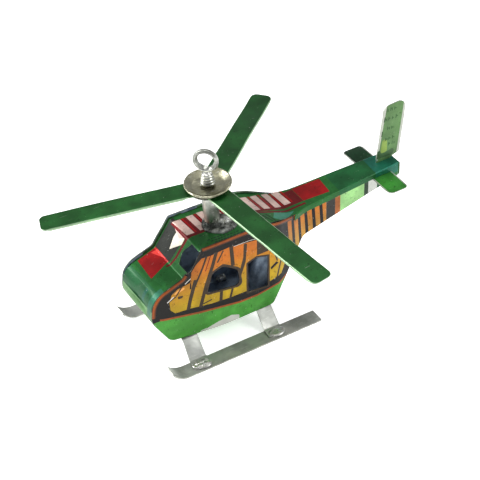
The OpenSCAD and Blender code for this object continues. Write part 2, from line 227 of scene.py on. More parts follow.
def inside(outline: Sequence[Point], u: np.ndarray, v: np.ndarray) -> np.ndarray:
    """Tells which points lie in a closed outline.

    Args:
        outline: Points of the outline.
        u: First coordinate of each point.
        v: Second coordinate of each point.

    Returns:
        True for each point inside.
    """
    hit = np.zeros(len(u), bool)
    for (x0, y0), (x1, y1) in zip(outline, [*outline[1:], outline[0]]):
        if y0 == y1:
            continue
        crosses = (v < y0) != (v < y1)
        hit ^= crosses & (u < x0 + (v - y0) * (x1 - x0) / (y1 - y0))
    return hit


class Dents:
    """Soft dents of hand-cut tin, as a sum of a few long waves."""

    def __init__(self, seed: int, height: float, length: float = 14.0) -> None:
        """Chooses the waves.

        Args:
            seed: Seed of the choice.
            height: Largest height of the dents.
            length: Typical distance between two dents.
        """
        chance = np.random.default_rng(seed)
        self.waves = chance.normal(size=(7, 3)) * (2 * math.pi / length) * 0.6
        self.phase = chance.uniform(0, 2 * math.pi, 7)
        self.height = height / math.sqrt(7)

    def at(self, places: np.ndarray) -> np.ndarray:
        """Gives the dent's height at each place.

        Args:
            places: Points, one per row.

        Returns:
            One height per point.
        """
        return self.height * np.sin(places @ self.waves.T + self.phase).sum(1)


class Path:
    """A line in a plane that is read by its length from the start."""

    def __init__(self, points: Sequence[Point]) -> None:
        """Measures the line.

        Args:
            points: Points of the line.
        """
        self.points = np.array(points, float)
        steps = np.linalg.norm(np.diff(self.points, axis=0), axis=1)
        keep = np.concatenate(([True], steps > 1e-6))
        self.points = self.points[keep]
        steps = np.linalg.norm(np.diff(self.points, axis=0), axis=1)
        self.marks = np.concatenate(([0.0], np.cumsum(steps)))
        self.length = float(self.marks[-1])
        along = np.diff(self.points, axis=0) / steps[:, None]
        mean = np.vstack((along[:1], (along[1:] + along[:-1]) / 2, along[-1:]))
        self.lefts = np.stack((-mean[:, 1], mean[:, 0]), 1)
        self.lefts /= np.linalg.norm(self.lefts, axis=1)[:, None]

    def at(self, marks: np.ndarray) -> np.ndarray:
        """Gives the points at these lengths.

        Args:
            marks: Lengths from the start.

        Returns:
            One point per length.
        """
        return np.stack([np.interp(marks, self.marks, self.points[:, k]) for k in (0, 1)], 1)

    def left(self, marks: np.ndarray) -> np.ndarray:
        """Gives the left-hand normals at these lengths.

        Args:
            marks: Lengths from the start.

        Returns:
            One unit vector per length.
        """
        found = np.stack([np.interp(marks, self.marks, self.lefts[:, k]) for k in (0, 1)], 1)
        return found / np.linalg.norm(found, axis=1)[:, None]

    def mark_near(self, spot: Point) -> float:
        """Finds the length at which the line passes nearest to a spot.

        Args:
            spot: The spot.

        Returns:
            The length.
        """
        tries = np.linspace(0.0, self.length, 4000)
        return float(tries[np.argmin(np.linalg.norm(self.at(tries) - np.array(spot), axis=1))])


def write_mesh(
    name: str,
    verts: np.ndarray,
    faces: Sequence[Sequence[int]],
    materials: Sequence[bpy.types.Material],
    slots: Sequence[int] | None = None,
    normals: np.ndarray | None = None,
    colours: np.ndarray | None = None,
    rim: np.ndarray | None = None,
) -> bpy.types.Object:
    """Makes an object from points in millimetres.

    Args:
        name: Name of the piece.
        verts: Points, one per row.
        faces: Corners of each face.
        materials: Materials of the piece.
        slots: Material of each face; the first one when left out.
        normals: Normal of each face corner; smooth ones when left out.
        colours: Ink of each face corner.
        rim: Nearness of each point to a cut edge, 0 to 1; none when left out.

    Returns:
        The object, at the origin.
    """
    mesh = bpy.data.meshes.new(name)
    mesh.from_pydata([tuple(v) for v in verts * MM], [], [tuple(int(i) for i in f) for f in faces])
    for material in materials:
        mesh.materials.append(material)
    if slots is not None:
        mesh.polygons.foreach_set("material_index", np.array(slots, np.int32))
    mesh.polygons.foreach_set("use_smooth", np.ones(len(mesh.polygons), bool))
    if colours is not None:
        layer = mesh.attributes.new("ink", "FLOAT_COLOR", "CORNER")
        layer.data.foreach_set("color", colours.astype(np.float32).ravel())
    edge = mesh.attributes.new("rim", "FLOAT", "POINT")
    edge.data.foreach_set("value", (np.zeros(len(verts)) if rim is None else rim).astype(np.float32))
    if normals is not None:
        mesh.normals_split_custom_set([tuple(n) for n in normals])
    mesh.update()
    piece = bpy.data.objects.new(name, mesh)
    bpy.context.scene.collection.objects.link(piece)
    return piece


@dataclass(frozen=True)
class Shape:
    """One shape of colour: an outline in the sheet's own plane and its inks; mostly print, a few are painted
    shade or highlight.
    """

    outline: tuple[Point, ...]
    low: Colour
    high: Colour | None = None
    fade: tuple[float, float] = (0.0, 1.0)

    def colour(self, v: np.ndarray) -> np.ndarray:
        """Gives the ink at each height.

        Args:
            v: Second coordinate of each point.

        Returns:
            One colour per point.
        """
        low = np.array(self.low)
        high = np.array(self.high or self.low)
        share = np.clip((v - self.fade[0]) / (self.fade[1] - self.fade[0]), 0, 1)[:, None]
        return low * (1 - share) + high * share


@dataclass
class Sheet:
    """A printed sheet cut from tin, laid out flat and then lifted into its bent shape."""

    name: str
    outline: list[Point]
    base: Colour
    holes: list[list[Point]] = field(default_factory=list)
    shapes: list[Shape] = field(default_factory=list)
    folds: list[tuple[Point, Point]] = field(default_factory=list)
    step: float = 1.5
    thick: float = 0.3
    back: Colour = INSIDE

    def flat(self) -> tuple[np.ndarray, np.ndarray]:
        """Cuts the sheet's plane into triangles along every printed edge.

        Returns:
            The points and the triangles that belong to the sheet.
        """
        points: list[Point] = []
        edges: list[tuple[int, int]] = []
        rings = [self.outline, *self.holes, *[list(s.outline) for s in self.shapes]]
        for ring in rings:
            first = len(points)
            points.extend(ring)
            edges.extend((first + i, first + (i + 1) % len(ring)) for i in range(len(ring)))
        for a, b in self.folds:
            edges.append((len(points), len(points) + 1))
            points.extend((a, b))
        low, high = np.min(self.outline, 0), np.max(self.outline, 0)
        us = np.arange(low[0] + self.step / 2, high[0], self.step)
        vs = np.arange(low[1] + self.step / 2, high[1], self.step)
        grid_u, grid_v = (g.ravel() for g in np.meshgrid(us, vs))
        grid_u = grid_u + (np.round((grid_v - low[1]) / self.step) % 2) * self.step / 2
        held = inside(self.outline, grid_u, grid_v)
        points.extend(zip(grid_u[held].tolist(), grid_v[held].tolist()))
        found = delaunay_2d_cdt([Vector(p) for p in points], edges, [], 0, 1e-5)
        places = np.array([tuple(p) for p in found[0]])
        triangles = np.array([f for f in found[2] if len(f) == 3])
        corners = places[triangles]
        area = np.cross(corners[:, 1] - corners[:, 0], corners[:, 2] - corners[:, 0])
        triangles[area < 0] = triangles[area < 0][:, ::-1]
        middle = corners.mean(1)
        keep = inside(self.outline, middle[:, 0], middle[:, 1]) & (abs(area) > 1e-7)
        for hole in self.holes:
            keep &= ~inside(hole, middle[:, 0], middle[:, 1])
        return places, triangles[keep]

    def build(self, lift: Lift, materials: Sequence[bpy.types.Material],
            flip: bool = False) -> bpy.types.Object:
        """Lifts the sheet into space with its thickness.

        Args:
            lift: Gives points in space, in millimetres, for points of the flat sheet.
            materials: Print, inside and cut edge.
            flip: Whether the print faces the other way.

        Returns:
            The piece.
        """
        places, triangles = self.flat()
        used = np.unique(triangles)
        renumber = np.full(len(places), -1)
        renumber[used] = np.arange(len(used))
        places, triangles = places[used], renumber[triangles]
        u, v = places[:, 0], places[:, 1]
        step = SLOPE_STEP
        du = lift(u + step, v) - lift(u - step, v)
        dv = lift(u, v + step) - lift(u, v - step)
        normal = np.cross(du, dv)
        normal /= np.linalg.norm(normal, axis=1)[:, None]
        if flip:
            normal = -normal
            triangles = triangles[:, ::-1]
        outer = lift(u, v)
        inner = outer - normal * self.thick
        count = len(places)
        middle = places[triangles].mean(1)
        owner = np.full(len(triangles), -1)
        for i, shape in enumerate(self.shapes):
            owner[inside(list(shape.outline), middle[:, 0], middle[:, 1])] = i
        colours = np.tile(np.array(self.base), (len(triangles), 3, 1))
        for i, shape in enumerate(self.shapes):
            mine = owner == i
            if mine.any():
                colours[mine] = shape.colour(places[triangles[mine]][:, :, 1].ravel()).reshape(-1, 3, 4)
        directed = {(int(a), int(b)) for t in triangles for a, b in zip(t, np.roll(t, -1))}
        border = [(a, b) for a, b in directed if (b, a) not in directed]
        walls = [(b, a, a + count, b + count) for a, b in border]
        rim = np.zeros(2 * count)
        for a, b in border:
            rim[[a, b, a + count, b + count]] = 1.0
        verts = np.vstack((outer, inner))
        faces = [*triangles.tolist(), *(triangles[:, ::-1] + count).tolist(), *walls]
        normals = [normal[triangles].reshape(-1, 3), -normal[triangles[:, ::-1]].reshape(-1, 3)]
        side = []
        for a, b in border:
            out = np.cross(verts[b] - verts[a], normal[a])
            side.append(out / max(np.linalg.norm(out), 1e-9))
        normals.append(np.repeat(np.array(side), 4, 0))
        slots = [0] * len(triangles) + [1] * len(triangles) + [2] * len(walls)
        paint = np.vstack((
            colours.reshape(-1, 4),
            np.tile(np.array(self.back), (3 * len(triangles), 1)),
            np.tile(np.array(BARE), (4 * len(walls), 1)),
        ))
        return write_mesh(self.name, verts, faces, materials, slots, np.vstack(normals), paint, rim)


def loft(
    name: str,
    rings: np.ndarray,
    material: bpy.types.Material,
    closed_along: bool = False,
    colour: Colour | np.ndarray = BARE,
    sharp: float | None = None,
) -> bpy.types.Object:
    """Skins a row of rings into one closed piece.

    Args:
        name: Name of the piece.
        rings: Points in millimetres, ring by ring.
        material: Material of the piece.
        closed_along: Whether the last ring joins the first.
        colour: Ink, one for all or one per ring point.
        sharp: Angle in degrees above which an edge stays sharp.

    Returns:
        The piece.
    """
    count, size = rings.shape[:2]
    verts = rings.reshape(-1, 3)
    faces: list[tuple[int, ...]] = []
    for i in range(count if closed_along else count - 1):
        here, ahead = i * size, ((i + 1) % count) * size
        for j in range(size):
            k = (j + 1) % size
            faces.append((here + j, here + k, ahead + k, ahead + j))
    if not closed_along:
        faces.append(tuple(reversed(range(size))))
        faces.append(tuple(range((count - 1) * size, count * size)))
    if np.ndim(colour) == 1:
        paint = np.tile(np.array(colour), (sum(len(f) for f in faces), 1))
    else:
        flat = np.asarray(colour).reshape(-1, 4)
        paint = flat[[i for f in faces for i in f]]
    piece = write_mesh(name, verts, faces, [material], colours=paint)
    outward(piece)
    if sharp is not None:
        piece.data.set_sharp_from_angle(angle=math.radians(sharp))
    return piece


def outward(piece: bpy.types.Object) -> None:
    """Turns the faces of a closed piece outward.

    Args:
        piece: The piece.
    """
    mesh = piece.data
    co = np.empty(len(mesh.vertices) * 3, np.float32)
    mesh.vertices.foreach_get("co", co)
    co = co.reshape(-1, 3).astype(float)
    co = co - co.mean(0)
    mesh.calc_loop_triangles()
    tri = np.empty(len(mesh.loop_triangles) * 3, np.int32)
    mesh.loop_triangles.foreach_get("vertices", tri)
    a, b, c = (co[tri.reshape(-1, 3)[:, k]] for k in range(3))
    if np.einsum("ij,ij->i", a, np.cross(b, c)).sum() < 0:
        mesh.flip_normals()


def tube_rings(points: np.ndarray, radius: np.ndarray, sides: int = 14) -> np.ndarray:
    """Places rings of a round wire along a line.

    Args:
        points: Points of the line.
        radius: Radius at each point.
        sides: Points of each ring.

    Returns:
        The rings.
    """
    along = np.gradient(points, axis=0)
    along /= np.linalg.norm(along, axis=1)[:, None]
    across = np.cross(along[0], (0.3, 0.9, 0.1))
    across /= np.linalg.norm(across)
    rings = []
    angles = np.linspace(0, 2 * math.pi, sides, endpoint=False)
    for place, direction, size in zip(points, along, radius):
        across = across - direction * (across @ direction)
        across /= np.linalg.norm(across)
        other = np.cross(direction, across)
        rings.append(place + size * (np.cos(angles)[:, None] * across + np.sin(angles)[:, None] * other))
    return np.array(rings)


def lathe(
    name: str,
    profile: Sequence[Point],
    place: Matrix,
    material: bpy.types.Material,
    sides: int = 96,
    dents: Dents | None = None,
) -> bpy.types.Object:
    """Turns a closed profile about the z axis.

    Args:
        name: Name of the piece.
        profile: Radius and height of each point of a closed outline.
        place: Where the axis stands, in millimetres.
        material: Material of the piece.
        sides: Number of steps round the axis.
        dents: Small unevenness of the piece.

    Returns:
        The piece.
    """
    radius, height = np.array(profile, float).T
    angles = np.linspace(0, 2 * math.pi, sides, endpoint=False)
    rings = np.stack([
        np.stack((radius * math.cos(a), radius * math.sin(a), height), 1) for a in angles
    ])
    if dents is not None:
        flat = rings.reshape(-1, 3)
        rings = rings + (dents.at(flat)[:, None] * np.array((0.3, 0.3, 1.0))).reshape(rings.shape)
    world = np.array(place)
    rings = rings @ world[:3, :3].T + world[:3, 3]
    return loft(name, rings, material, closed_along=True, sharp=50)


# ---- finishes --------------------------------------------------------------------------------
class Tree:
    """A short way to write down nodes and links."""

    def __init__(self, tree: bpy.types.NodeTree) -> None:
        """Takes a node tree.

        Args:
            tree: The tree to fill.
        """
        self.tree = tree

    def node(self, kind: str, inputs: dict[str | int, object] | None = None,
            **settings: object) -> bpy.types.Node:
        """Adds a node.

        Args:
            kind: Type of the node.
            inputs: Constants, or sockets to link from, by input name or number.
            settings: Properties of the node.

        Returns:
            The node.
        """
        made = self.tree.nodes.new(kind)
        for key, value in settings.items():
            setattr(made, key, value)
        for key, value in (inputs or {}).items():
            socket = made.inputs[key]
            if isinstance(value, bpy.types.NodeSocket):
                self.tree.links.new(value, socket)
            else:
                socket.default_value = value
        return made

    def math(self, operation: str, a: object, b: object = 0.0, clamp: bool = False) -> bpy.types.NodeSocket:
        """Adds a sum or product.

        Args:
            operation: What to do.
            a: First value or socket.
            b: Second value or socket.
            clamp: Whether the result stays from 0 to 1.

        Returns:
            The result.
        """
        return self.node("ShaderNodeMath", {0: a, 1: b}, operation=operation, use_clamp=clamp).outputs[0]

    def mix(self, share: object, a: object, b: object) -> bpy.types.NodeSocket:
        """Adds a blend of two colours.

        Args:
            share: Share of the second colour.
            a: First colour.
            b: Second colour.

        Returns:
            The blend.
        """
        made = self.tree.nodes.new("ShaderNodeMix")
        made.data_type = "RGBA"
        for socket, value in ((made.inputs[0], share), (made.inputs[6], a), (made.inputs[7], b)):
            if isinstance(value, bpy.types.NodeSocket):
                self.tree.links.new(value, socket)
            else:
                socket.default_value = value
        return made.outputs[2]


def new_group(name: str, inputs: dict[str, float]) -> tuple[Tree, bpy.types.Node, bpy.types.Node]:
    """Starts a shader group with number inputs and one output called Value.

    Args:
        name: Name of the group.
        inputs: Name and usual value of each input.

    Returns:
        The group's tree, its input node and its output node.
    """
    group = bpy.data.node_groups.new(name, "ShaderNodeTree")
    for key, value in inputs.items():
        socket = group.interface.new_socket(key, in_out="INPUT", socket_type="NodeSocketFloat")
        socket.default_value = value
    group.interface.new_socket("Value", in_out="OUTPUT", socket_type="NodeSocketFloat")
    tree = Tree(group)
    return tree, tree.node("NodeGroupInput"), tree.node("NodeGroupOutput")


class Effects:
    """The material effects that several finishes share."""

    def __init__(self) -> None:
        """Builds the groups."""
        self.cloud = self._cloud()
        self.scratch = self._scratch()
        self.edge = self._edge()
        self.grain = self._grain()

    @staticmethod
    def _cloud() -> bpy.types.NodeTree:
        """Builds soft clouds, from 0 to 1."""
        tree, given, result = new_group(
            "soft_clouds", {"Scale": 200.0, "Low": 0.35, "High": 0.65, "Detail": 3.0})
        place = tree.node("ShaderNodeTexCoord").outputs["Object"]
        noise = tree.node("ShaderNodeTexNoise", {
            "Vector": place, "Scale": given.outputs["Scale"], "Detail": given.outputs["Detail"]})
        spread = tree.node("ShaderNodeMapRange", {
            "Value": noise.outputs[0], "From Min": given.outputs["Low"], "From Max": given.outputs["High"]},
            interpolation_type="SMOOTHSTEP")
        tree.tree.links.new(spread.outputs[0], result.inputs["Value"])
        return tree.tree

    @staticmethod
    def _scratch() -> bpy.types.NodeTree:
        """Builds long fine scratches: noise stretched one way."""
        tree, given, result = new_group("fine_scratches", {"Scale": 160.0, "Turn": 0.6, "Least": 0.66})
        place = tree.node("ShaderNodeTexCoord").outputs["Object"]
        turn = tree.node("ShaderNodeCombineXYZ", {
            0: given.outputs["Turn"], 1: given.outputs["Turn"], 2: given.outputs["Turn"]})
        turned = tree.node("ShaderNodeMapping", {
            "Vector": place, "Rotation": turn.outputs[0], "Scale": (1.0, 14.0, 5.0)})
        noise = tree.node("ShaderNodeTexNoise", {
            "Vector": turned.outputs[0], "Scale": given.outputs["Scale"], "Detail": 4.0, "Roughness": 0.65})
        top = tree.math("ADD", given.outputs["Least"], 0.08)
        spread = tree.node("ShaderNodeMapRange", {
            "Value": noise.outputs[0], "From Min": given.outputs["Least"], "From Max": top})
        tree.tree.links.new(spread.outputs[0], result.inputs["Value"])
        return tree.tree

    @staticmethod
    def _edge() -> bpy.types.NodeTree:
        """Builds wear that starts at cut edges and breaks up inward."""
        tree, given, result = new_group("edge_wear", {"Reach": 0.8, "Scale": 900.0})
        rim = tree.node("ShaderNodeAttribute", attribute_name="rim").outputs["Fac"]
        place = tree.node("ShaderNodeTexCoord").outputs["Object"]
        noise = tree.node(
            "ShaderNodeTexNoise", {"Vector": place, "Scale": given.outputs["Scale"], "Detail": 3.0})
        ragged = tree.math("MULTIPLY_ADD", noise.outputs[0], 0.3)
        ragged.node.inputs[2].default_value = -0.15
        worn = tree.math("ADD", rim, ragged)
        high = tree.math("ADD", given.outputs["Reach"], 0.08)
        spread = tree.node("ShaderNodeMapRange", {
            "Value": worn, "From Min": given.outputs["Reach"], "From Max": high})
        tree.tree.links.new(spread.outputs[0], result.inputs["Value"])
        return tree.tree

    @staticmethod
    def _grain() -> bpy.types.NodeTree:
        """Builds the fine grain of the metal."""
        tree, given, result = new_group("fine_grain", {"Scale": 2600.0})
        place = tree.node("ShaderNodeTexCoord").outputs["Object"]
        fine = tree.node(
            "ShaderNodeTexNoise", {"Vector": place, "Scale": given.outputs["Scale"], "Detail": 2.0})
        coarse_scale = tree.math("MULTIPLY", given.outputs["Scale"], 0.22)
        coarse = tree.node("ShaderNodeTexNoise", {"Vector": place, "Scale": coarse_scale, "Detail": 3.0})
        both = tree.math("ADD", fine.outputs[0], coarse.outputs[0])
        half = tree.math("MULTIPLY", both, 0.5)
        tree.tree.links.new(half, result.inputs["Value"])
        return tree.tree


def use_group(tree: Tree, group: bpy.types.NodeTree, **inputs: float) -> bpy.types.NodeSocket:
    """Adds a shared effect to a material.

    Args:
        tree: The material's tree.
        group: The effect.
        inputs: Values of its inputs, with the first letter small.

    Returns:
        The effect's value.
    """
    made = tree.node("ShaderNodeGroup", node_tree=group)
    for key, value in inputs.items():
        made.inputs[key.capitalize()].default_value = value
    return made.outputs["Value"]


def new_material(name: str) -> tuple[bpy.types.Material, Tree, bpy.types.Node]:
    """Starts a material.

    Args:
        name: Name of the material.

    Returns:
        The material, its tree and its Principled node.
    """
    material = bpy.data.materials.new(name)
    material.use_nodes = True
    return material, Tree(material.node_tree), material.node_tree.nodes["Principled BSDF"]


def wire_up(tree: Tree, shader: bpy.types.Node, sockets: dict[str, object]) -> None:
    """Sets or links the inputs of a shader.

    Args:
        tree: The material's tree.
        shader: Its Principled node.
        sockets: Constants or sockets by input name.
    """
    for key, value in sockets.items():
        if isinstance(value, bpy.types.NodeSocket):
            tree.tree.links.new(value, shader.inputs[key])
        else:
            shader.inputs[key].default_value = value


@dataclass(frozen=True)
class PrintedTin:
    """Tin with printed, lacquered inks; the ink comes from the sheet's own colour layer."""

    name: str
    metal: float = 0.55
    rough: float = 0.38
    coat: float = 0.14
    gloss: float = 0.22
    wear: float = 0.97
    scratches: float = 0.5

    def build(self, effects: Effects) -> bpy.types.Material:
        """Builds the material.

        Args:
            effects: The shared effects.

        Returns:
            The material.
        """
        material, tree, shader = new_material(self.name)
        print_layer = tree.node("ShaderNodeAttribute", attribute_name="ink")
        cloud = use_group(tree, effects.cloud, scale=150.0, low=0.3, high=0.75)
        grain = use_group(tree, effects.grain)
        edge = use_group(tree, effects.edge, reach=self.wear)
        scratch = use_group(tree, effects.scratch, scale=150.0, least=0.68)
        faded = tree.math("MULTIPLY_ADD", cloud, 0.42)
        faded.node.inputs[2].default_value = 0.7
        speckle = tree.math("MULTIPLY_ADD", grain, 0.7)
        speckle.node.inputs[2].default_value = 0.65
        pits = use_group(tree, effects.cloud, scale=1100.0, low=0.62, high=0.72)
        chips = use_group(tree, effects.cloud, scale=1300.0, low=0.71, high=0.75)
        pitted = tree.math("MULTIPLY_ADD", pits, -0.5)
        pitted.node.inputs[2].default_value = 1.0
        shade = tree.math("MULTIPLY", tree.math("MULTIPLY", faded, speckle), pitted)
        tone = tree.node("ShaderNodeCombineColor", {0: shade, 1: shade, 2: shade}).outputs[0]
        varied = tree.node("ShaderNodeMix", data_type="RGBA", blend_type="MULTIPLY")
        varied.inputs[0].default_value = 1.0
        tree.tree.links.new(print_layer.outputs["Color"], varied.inputs[6])
        tree.tree.links.new(tone, varied.inputs[7])
        scuffs = tree.math(
            "MAXIMUM", tree.math("MULTIPLY", scratch, self.scratches), tree.math("MULTIPLY", chips, 0.4))
        bare = tree.math("MAXIMUM", print_layer.outputs["Alpha"], tree.math("MAXIMUM", edge, scuffs), True)
        colour = tree.mix(bare, varied.outputs[2], (0.5, 0.51, 0.47, 1.0))
        metallic = tree.math("MULTIPLY_ADD", bare, 0.95 - self.metal)
        metallic.node.inputs[2].default_value = self.metal
        rough = tree.math("MULTIPLY_ADD", cloud, 0.14)
        rough.node.inputs[2].default_value = self.rough
        height = tree.math("ADD", tree.math("MULTIPLY", grain, 0.5), tree.math("MULTIPLY", bare, -0.25))
        bump = tree.node("ShaderNodeBump", {"Strength": 0.35, "Distance": 0.00006, "Height": height})
        wire_up(tree, shader, {
            "Base Color": colour, "Metallic": metallic, "Roughness": rough, "Coat Weight": self.coat,
            "Specular IOR Level": self.gloss, "Coat Roughness": 0.14, "Normal": bump.outputs[0]})
        return material


@dataclass(frozen=True)
class Metal:
    """A bare metal with tarnish, scratches and lumps."""

    name: str
    light: Colour
    dark: Colour
    rough: float = 0.3
    cloud_scale: float = 260.0
    cloud_low: float = 0.35
    cloud_high: float = 0.7
    lumps: float = 0.00008
    lump_scale: float = 700.0
    scratches: float = 0.4
    metal: float = 1.0

    def build(self, effects: Effects) -> bpy.types.Material:
        """Builds the material.

        Args:
            effects: The shared effects.

        Returns:
            The material.
        """
        material, tree, shader = new_material(self.name)
        cloud = use_group(
            tree, effects.cloud, scale=self.cloud_scale, low=self.cloud_low, high=self.cloud_high)
        lump = use_group(tree, effects.cloud, scale=self.lump_scale, low=0.25, high=0.75)
        grain = use_group(tree, effects.grain, scale=3200.0)
        scratch = use_group(tree, effects.scratch, scale=190.0, turn=0.35, least=0.6)
        tarnish = tree.math("MULTIPLY", cloud, tree.math("ADD", grain, 0.45), True)
        colour = tree.mix(tarnish, (*self.light[:3], 1.0), (*self.dark[:3], 1.0))
        marks = tree.math("MULTIPLY", scratch, self.scratches)
        bright = tree.mix(marks, colour, (0.72, 0.72, 0.68, 1.0))
        rough = tree.math("MULTIPLY_ADD", tarnish, 0.3)
        rough.node.inputs[2].default_value = self.rough
        height = tree.math("ADD", tree.math("MULTIPLY", lump, 1.0), tree.math("MULTIPLY", grain, 0.25))
        bump = tree.node("ShaderNodeBump", {"Strength": 0.6, "Distance": self.lumps, "Height": height})
        wire_up(tree, shader, {
            "Base Color": bright, "Metallic": self.metal, "Roughness": rough, "Normal": bump.outputs[0]})
        return material


class Finishes:
    """All finishes of the helicopter, built once."""

    def __init__(self) -> None:
        """Builds the materials."""
        effects = Effects()
        self.printed = PrintedTin("printed_tin").build(effects)
        self.blade = PrintedTin("blade_tin", metal=0.6, rough=0.34, coat=0.25, gloss=0.4, wear=0.86).build(
            effects)
        self.inside = Metal(
            "inside_of_tin", ink(148, 166, 184), ink(86, 100, 118), rough=0.6, metal=0.15,
            scratches=0.15).build(effects)
        self.tin = Metal(
            "bare_tin", ink(178, 180, 174), ink(134, 138, 130), rough=0.42, cloud_scale=110.0,
            lumps=0.00004, scratches=0.35, metal=0.8).build(effects)
        self.mast = Metal(
            "mast_tin", ink(196, 198, 188), ink(66, 72, 60), rough=0.24, cloud_scale=130.0, cloud_low=0.3,
            cloud_high=0.7, lumps=0.00005).build(effects)
        self.cut = Metal("cut_edge", ink(190, 192, 184), ink(140, 142, 132), rough=0.35).build(effects)
        # Painted shade: the side panels' cut edges are near black, standing in for the shade on the edges of
        # the window openings.
        self.shaded_cut_edge = Metal(
            "painted_shade_cut_edge", ink(66, 66, 58), ink(34, 34, 30), rough=0.5, metal=0.6).build(effects)
        self.green_edge = Metal(
            "green_cut_edge", ink(140, 178, 124), ink(84, 116, 80), rough=0.4, metal=0.5).build(effects)
        self.solder = Metal(
            "solder", ink(222, 222, 216), ink(150, 152, 146), rough=0.2, lumps=0.0003, lump_scale=500.0,
            scratches=0.1).build(effects)
        self.flux = Metal(
            "sooty_solder", ink(190, 192, 186), ink(34, 38, 34), rough=0.26, cloud_scale=230.0,
            cloud_low=0.28, cloud_high=0.54, lumps=0.0004, lump_scale=420.0, scratches=0.1,
            metal=0.85).build(effects)
        self.wire = Metal("wire", ink(206, 208, 200), ink(92, 94, 86), rough=0.22, lumps=0.00005).build(
            effects)
        self.disc = Metal(
            "hub_disc_tin", ink(182, 180, 156), ink(106, 104, 82), rough=0.26, cloud_scale=180.0,
            scratches=0.6).build(effects)


# ---- lines of the body -----------------------------------------------------------------------
@dataclass(frozen=True)
class BodyLines:
    """Side and plan lines of the fuselage, the same as the CAD's."""

    tin: float = 0.3
    rim: float = 0.8
    hem: float = 1.2
    cover_x: float = -25.5
    ear_x: float = -61.6
    tail_x: float = -67.0
    seam: Corner = (15.4, 7.2297, 0.0)
    chin: Corner = (20.5, 7.9, 4.0)
    nose_low: Corner = (26.4, 17.8, 6.5)
    nose_high: Corner = (25.5, 26.3, 7.4)
    hood_bend: Corner = (15.3, 30.0, 1.2)
    roof_bend: Corner = (9.2, 38.5, 1.2)
    roof_end: Corner = (-13.0, 38.3, 10.0)
    shoulder_end: Corner = (-26.0, 34.6, 10.0)
    tail_top: Corner = (-67.0, 36.6, 0.8)
    tail_low: Corner = (-67.0, 31.6, 0.5)
    boom_root: Corner = (-29.3, 24.1, 3.0)
    rear_heel: Corner = (-15.6, 6.0, 2.4)
    belly_mid: Corner = (3.0, 5.6, 30.0)

    def side_line(self) -> list[Corner]:
        """Gives the upper and front edge of a side panel, from the belly round the nose to the boom."""
        return [
            self.belly_mid, self.chin, self.nose_low, self.nose_high, self.hood_bend, self.roof_bend,
            self.roof_end, self.shoulder_end]

    def top_path(self) -> Path:
        """Gives the outer face of the strip over nose, roof and boom."""
        corners = [self.seam, *self.side_line()[1:], self.tail_top, self.tail_low]
        inward = [0, 0, 0, self.rim, self.rim, self.rim, self.rim / 2, 0, 0]
        return Path(rounded(moved(corners, inward), closed=False))

    def belly_path(self) -> Path:
        """Gives the outer face of the strip under the boom and the cabin."""
        return Path(rounded([
            (self.tail_x + self.tin, self.tail_low[1], 0.0), self.boom_root, self.rear_heel, self.belly_mid,
            (self.seam[0] - 0.1, self.seam[1], 0.0)], closed=False))

    def side_outline(self) -> list[Point]:
        """Gives the closed outline of a side panel."""
        corners = [*self.side_line(), (self.tail_top[0], self.tail_top[1], 0.1), self.tail_low]
        inward = [0, 0, 0, 0, 0, 0, 0, self.tin, self.tin]
        return rounded([*moved(corners, inward), self.boom_root, self.rear_heel])

    def half_width(self, x: np.ndarray) -> np.ndarray:
        """Gives the distance of a side panel's outer face from the middle.

        Args:
            x: Places along the body.

        Returns:
            One distance per place.
        """
        line = np.array(
            rounded([(30.2, 9.6, 0), (-17.5, 9.6, 14), (-30.0, 5.2, 14), (-68.0, 3.35, 0)], False, 2.0))
        return np.interp(x, line[::-1, 0], line[::-1, 1])


LINES = BodyLines()


def ribbon(points: Sequence[Point], width: float) -> tuple[Point, ...]:
    """Makes a printed line from its middle and its width.

    Args:
        points: Middle of the line.
        width: Width of the line.

    Returns:
        Its outline.
    """
    path = Path(points)
    left = path.points + path.lefts * width / 2
    right = path.points - path.lefts * width / 2
    return tuple(map(tuple, np.vstack((left, right[::-1])).tolist()))


def soft(points: Sequence[Point], radius: float = 0.6) -> tuple[Point, ...]:
    """Makes a printed shape with soft corners.

    Args:
        points: Corners of the shape.
        radius: Radius of its corners.

    Returns:
        Its outline.
    """
    return tuple(rounded([(x, z, radius) for x, z in points], turn=20.0))


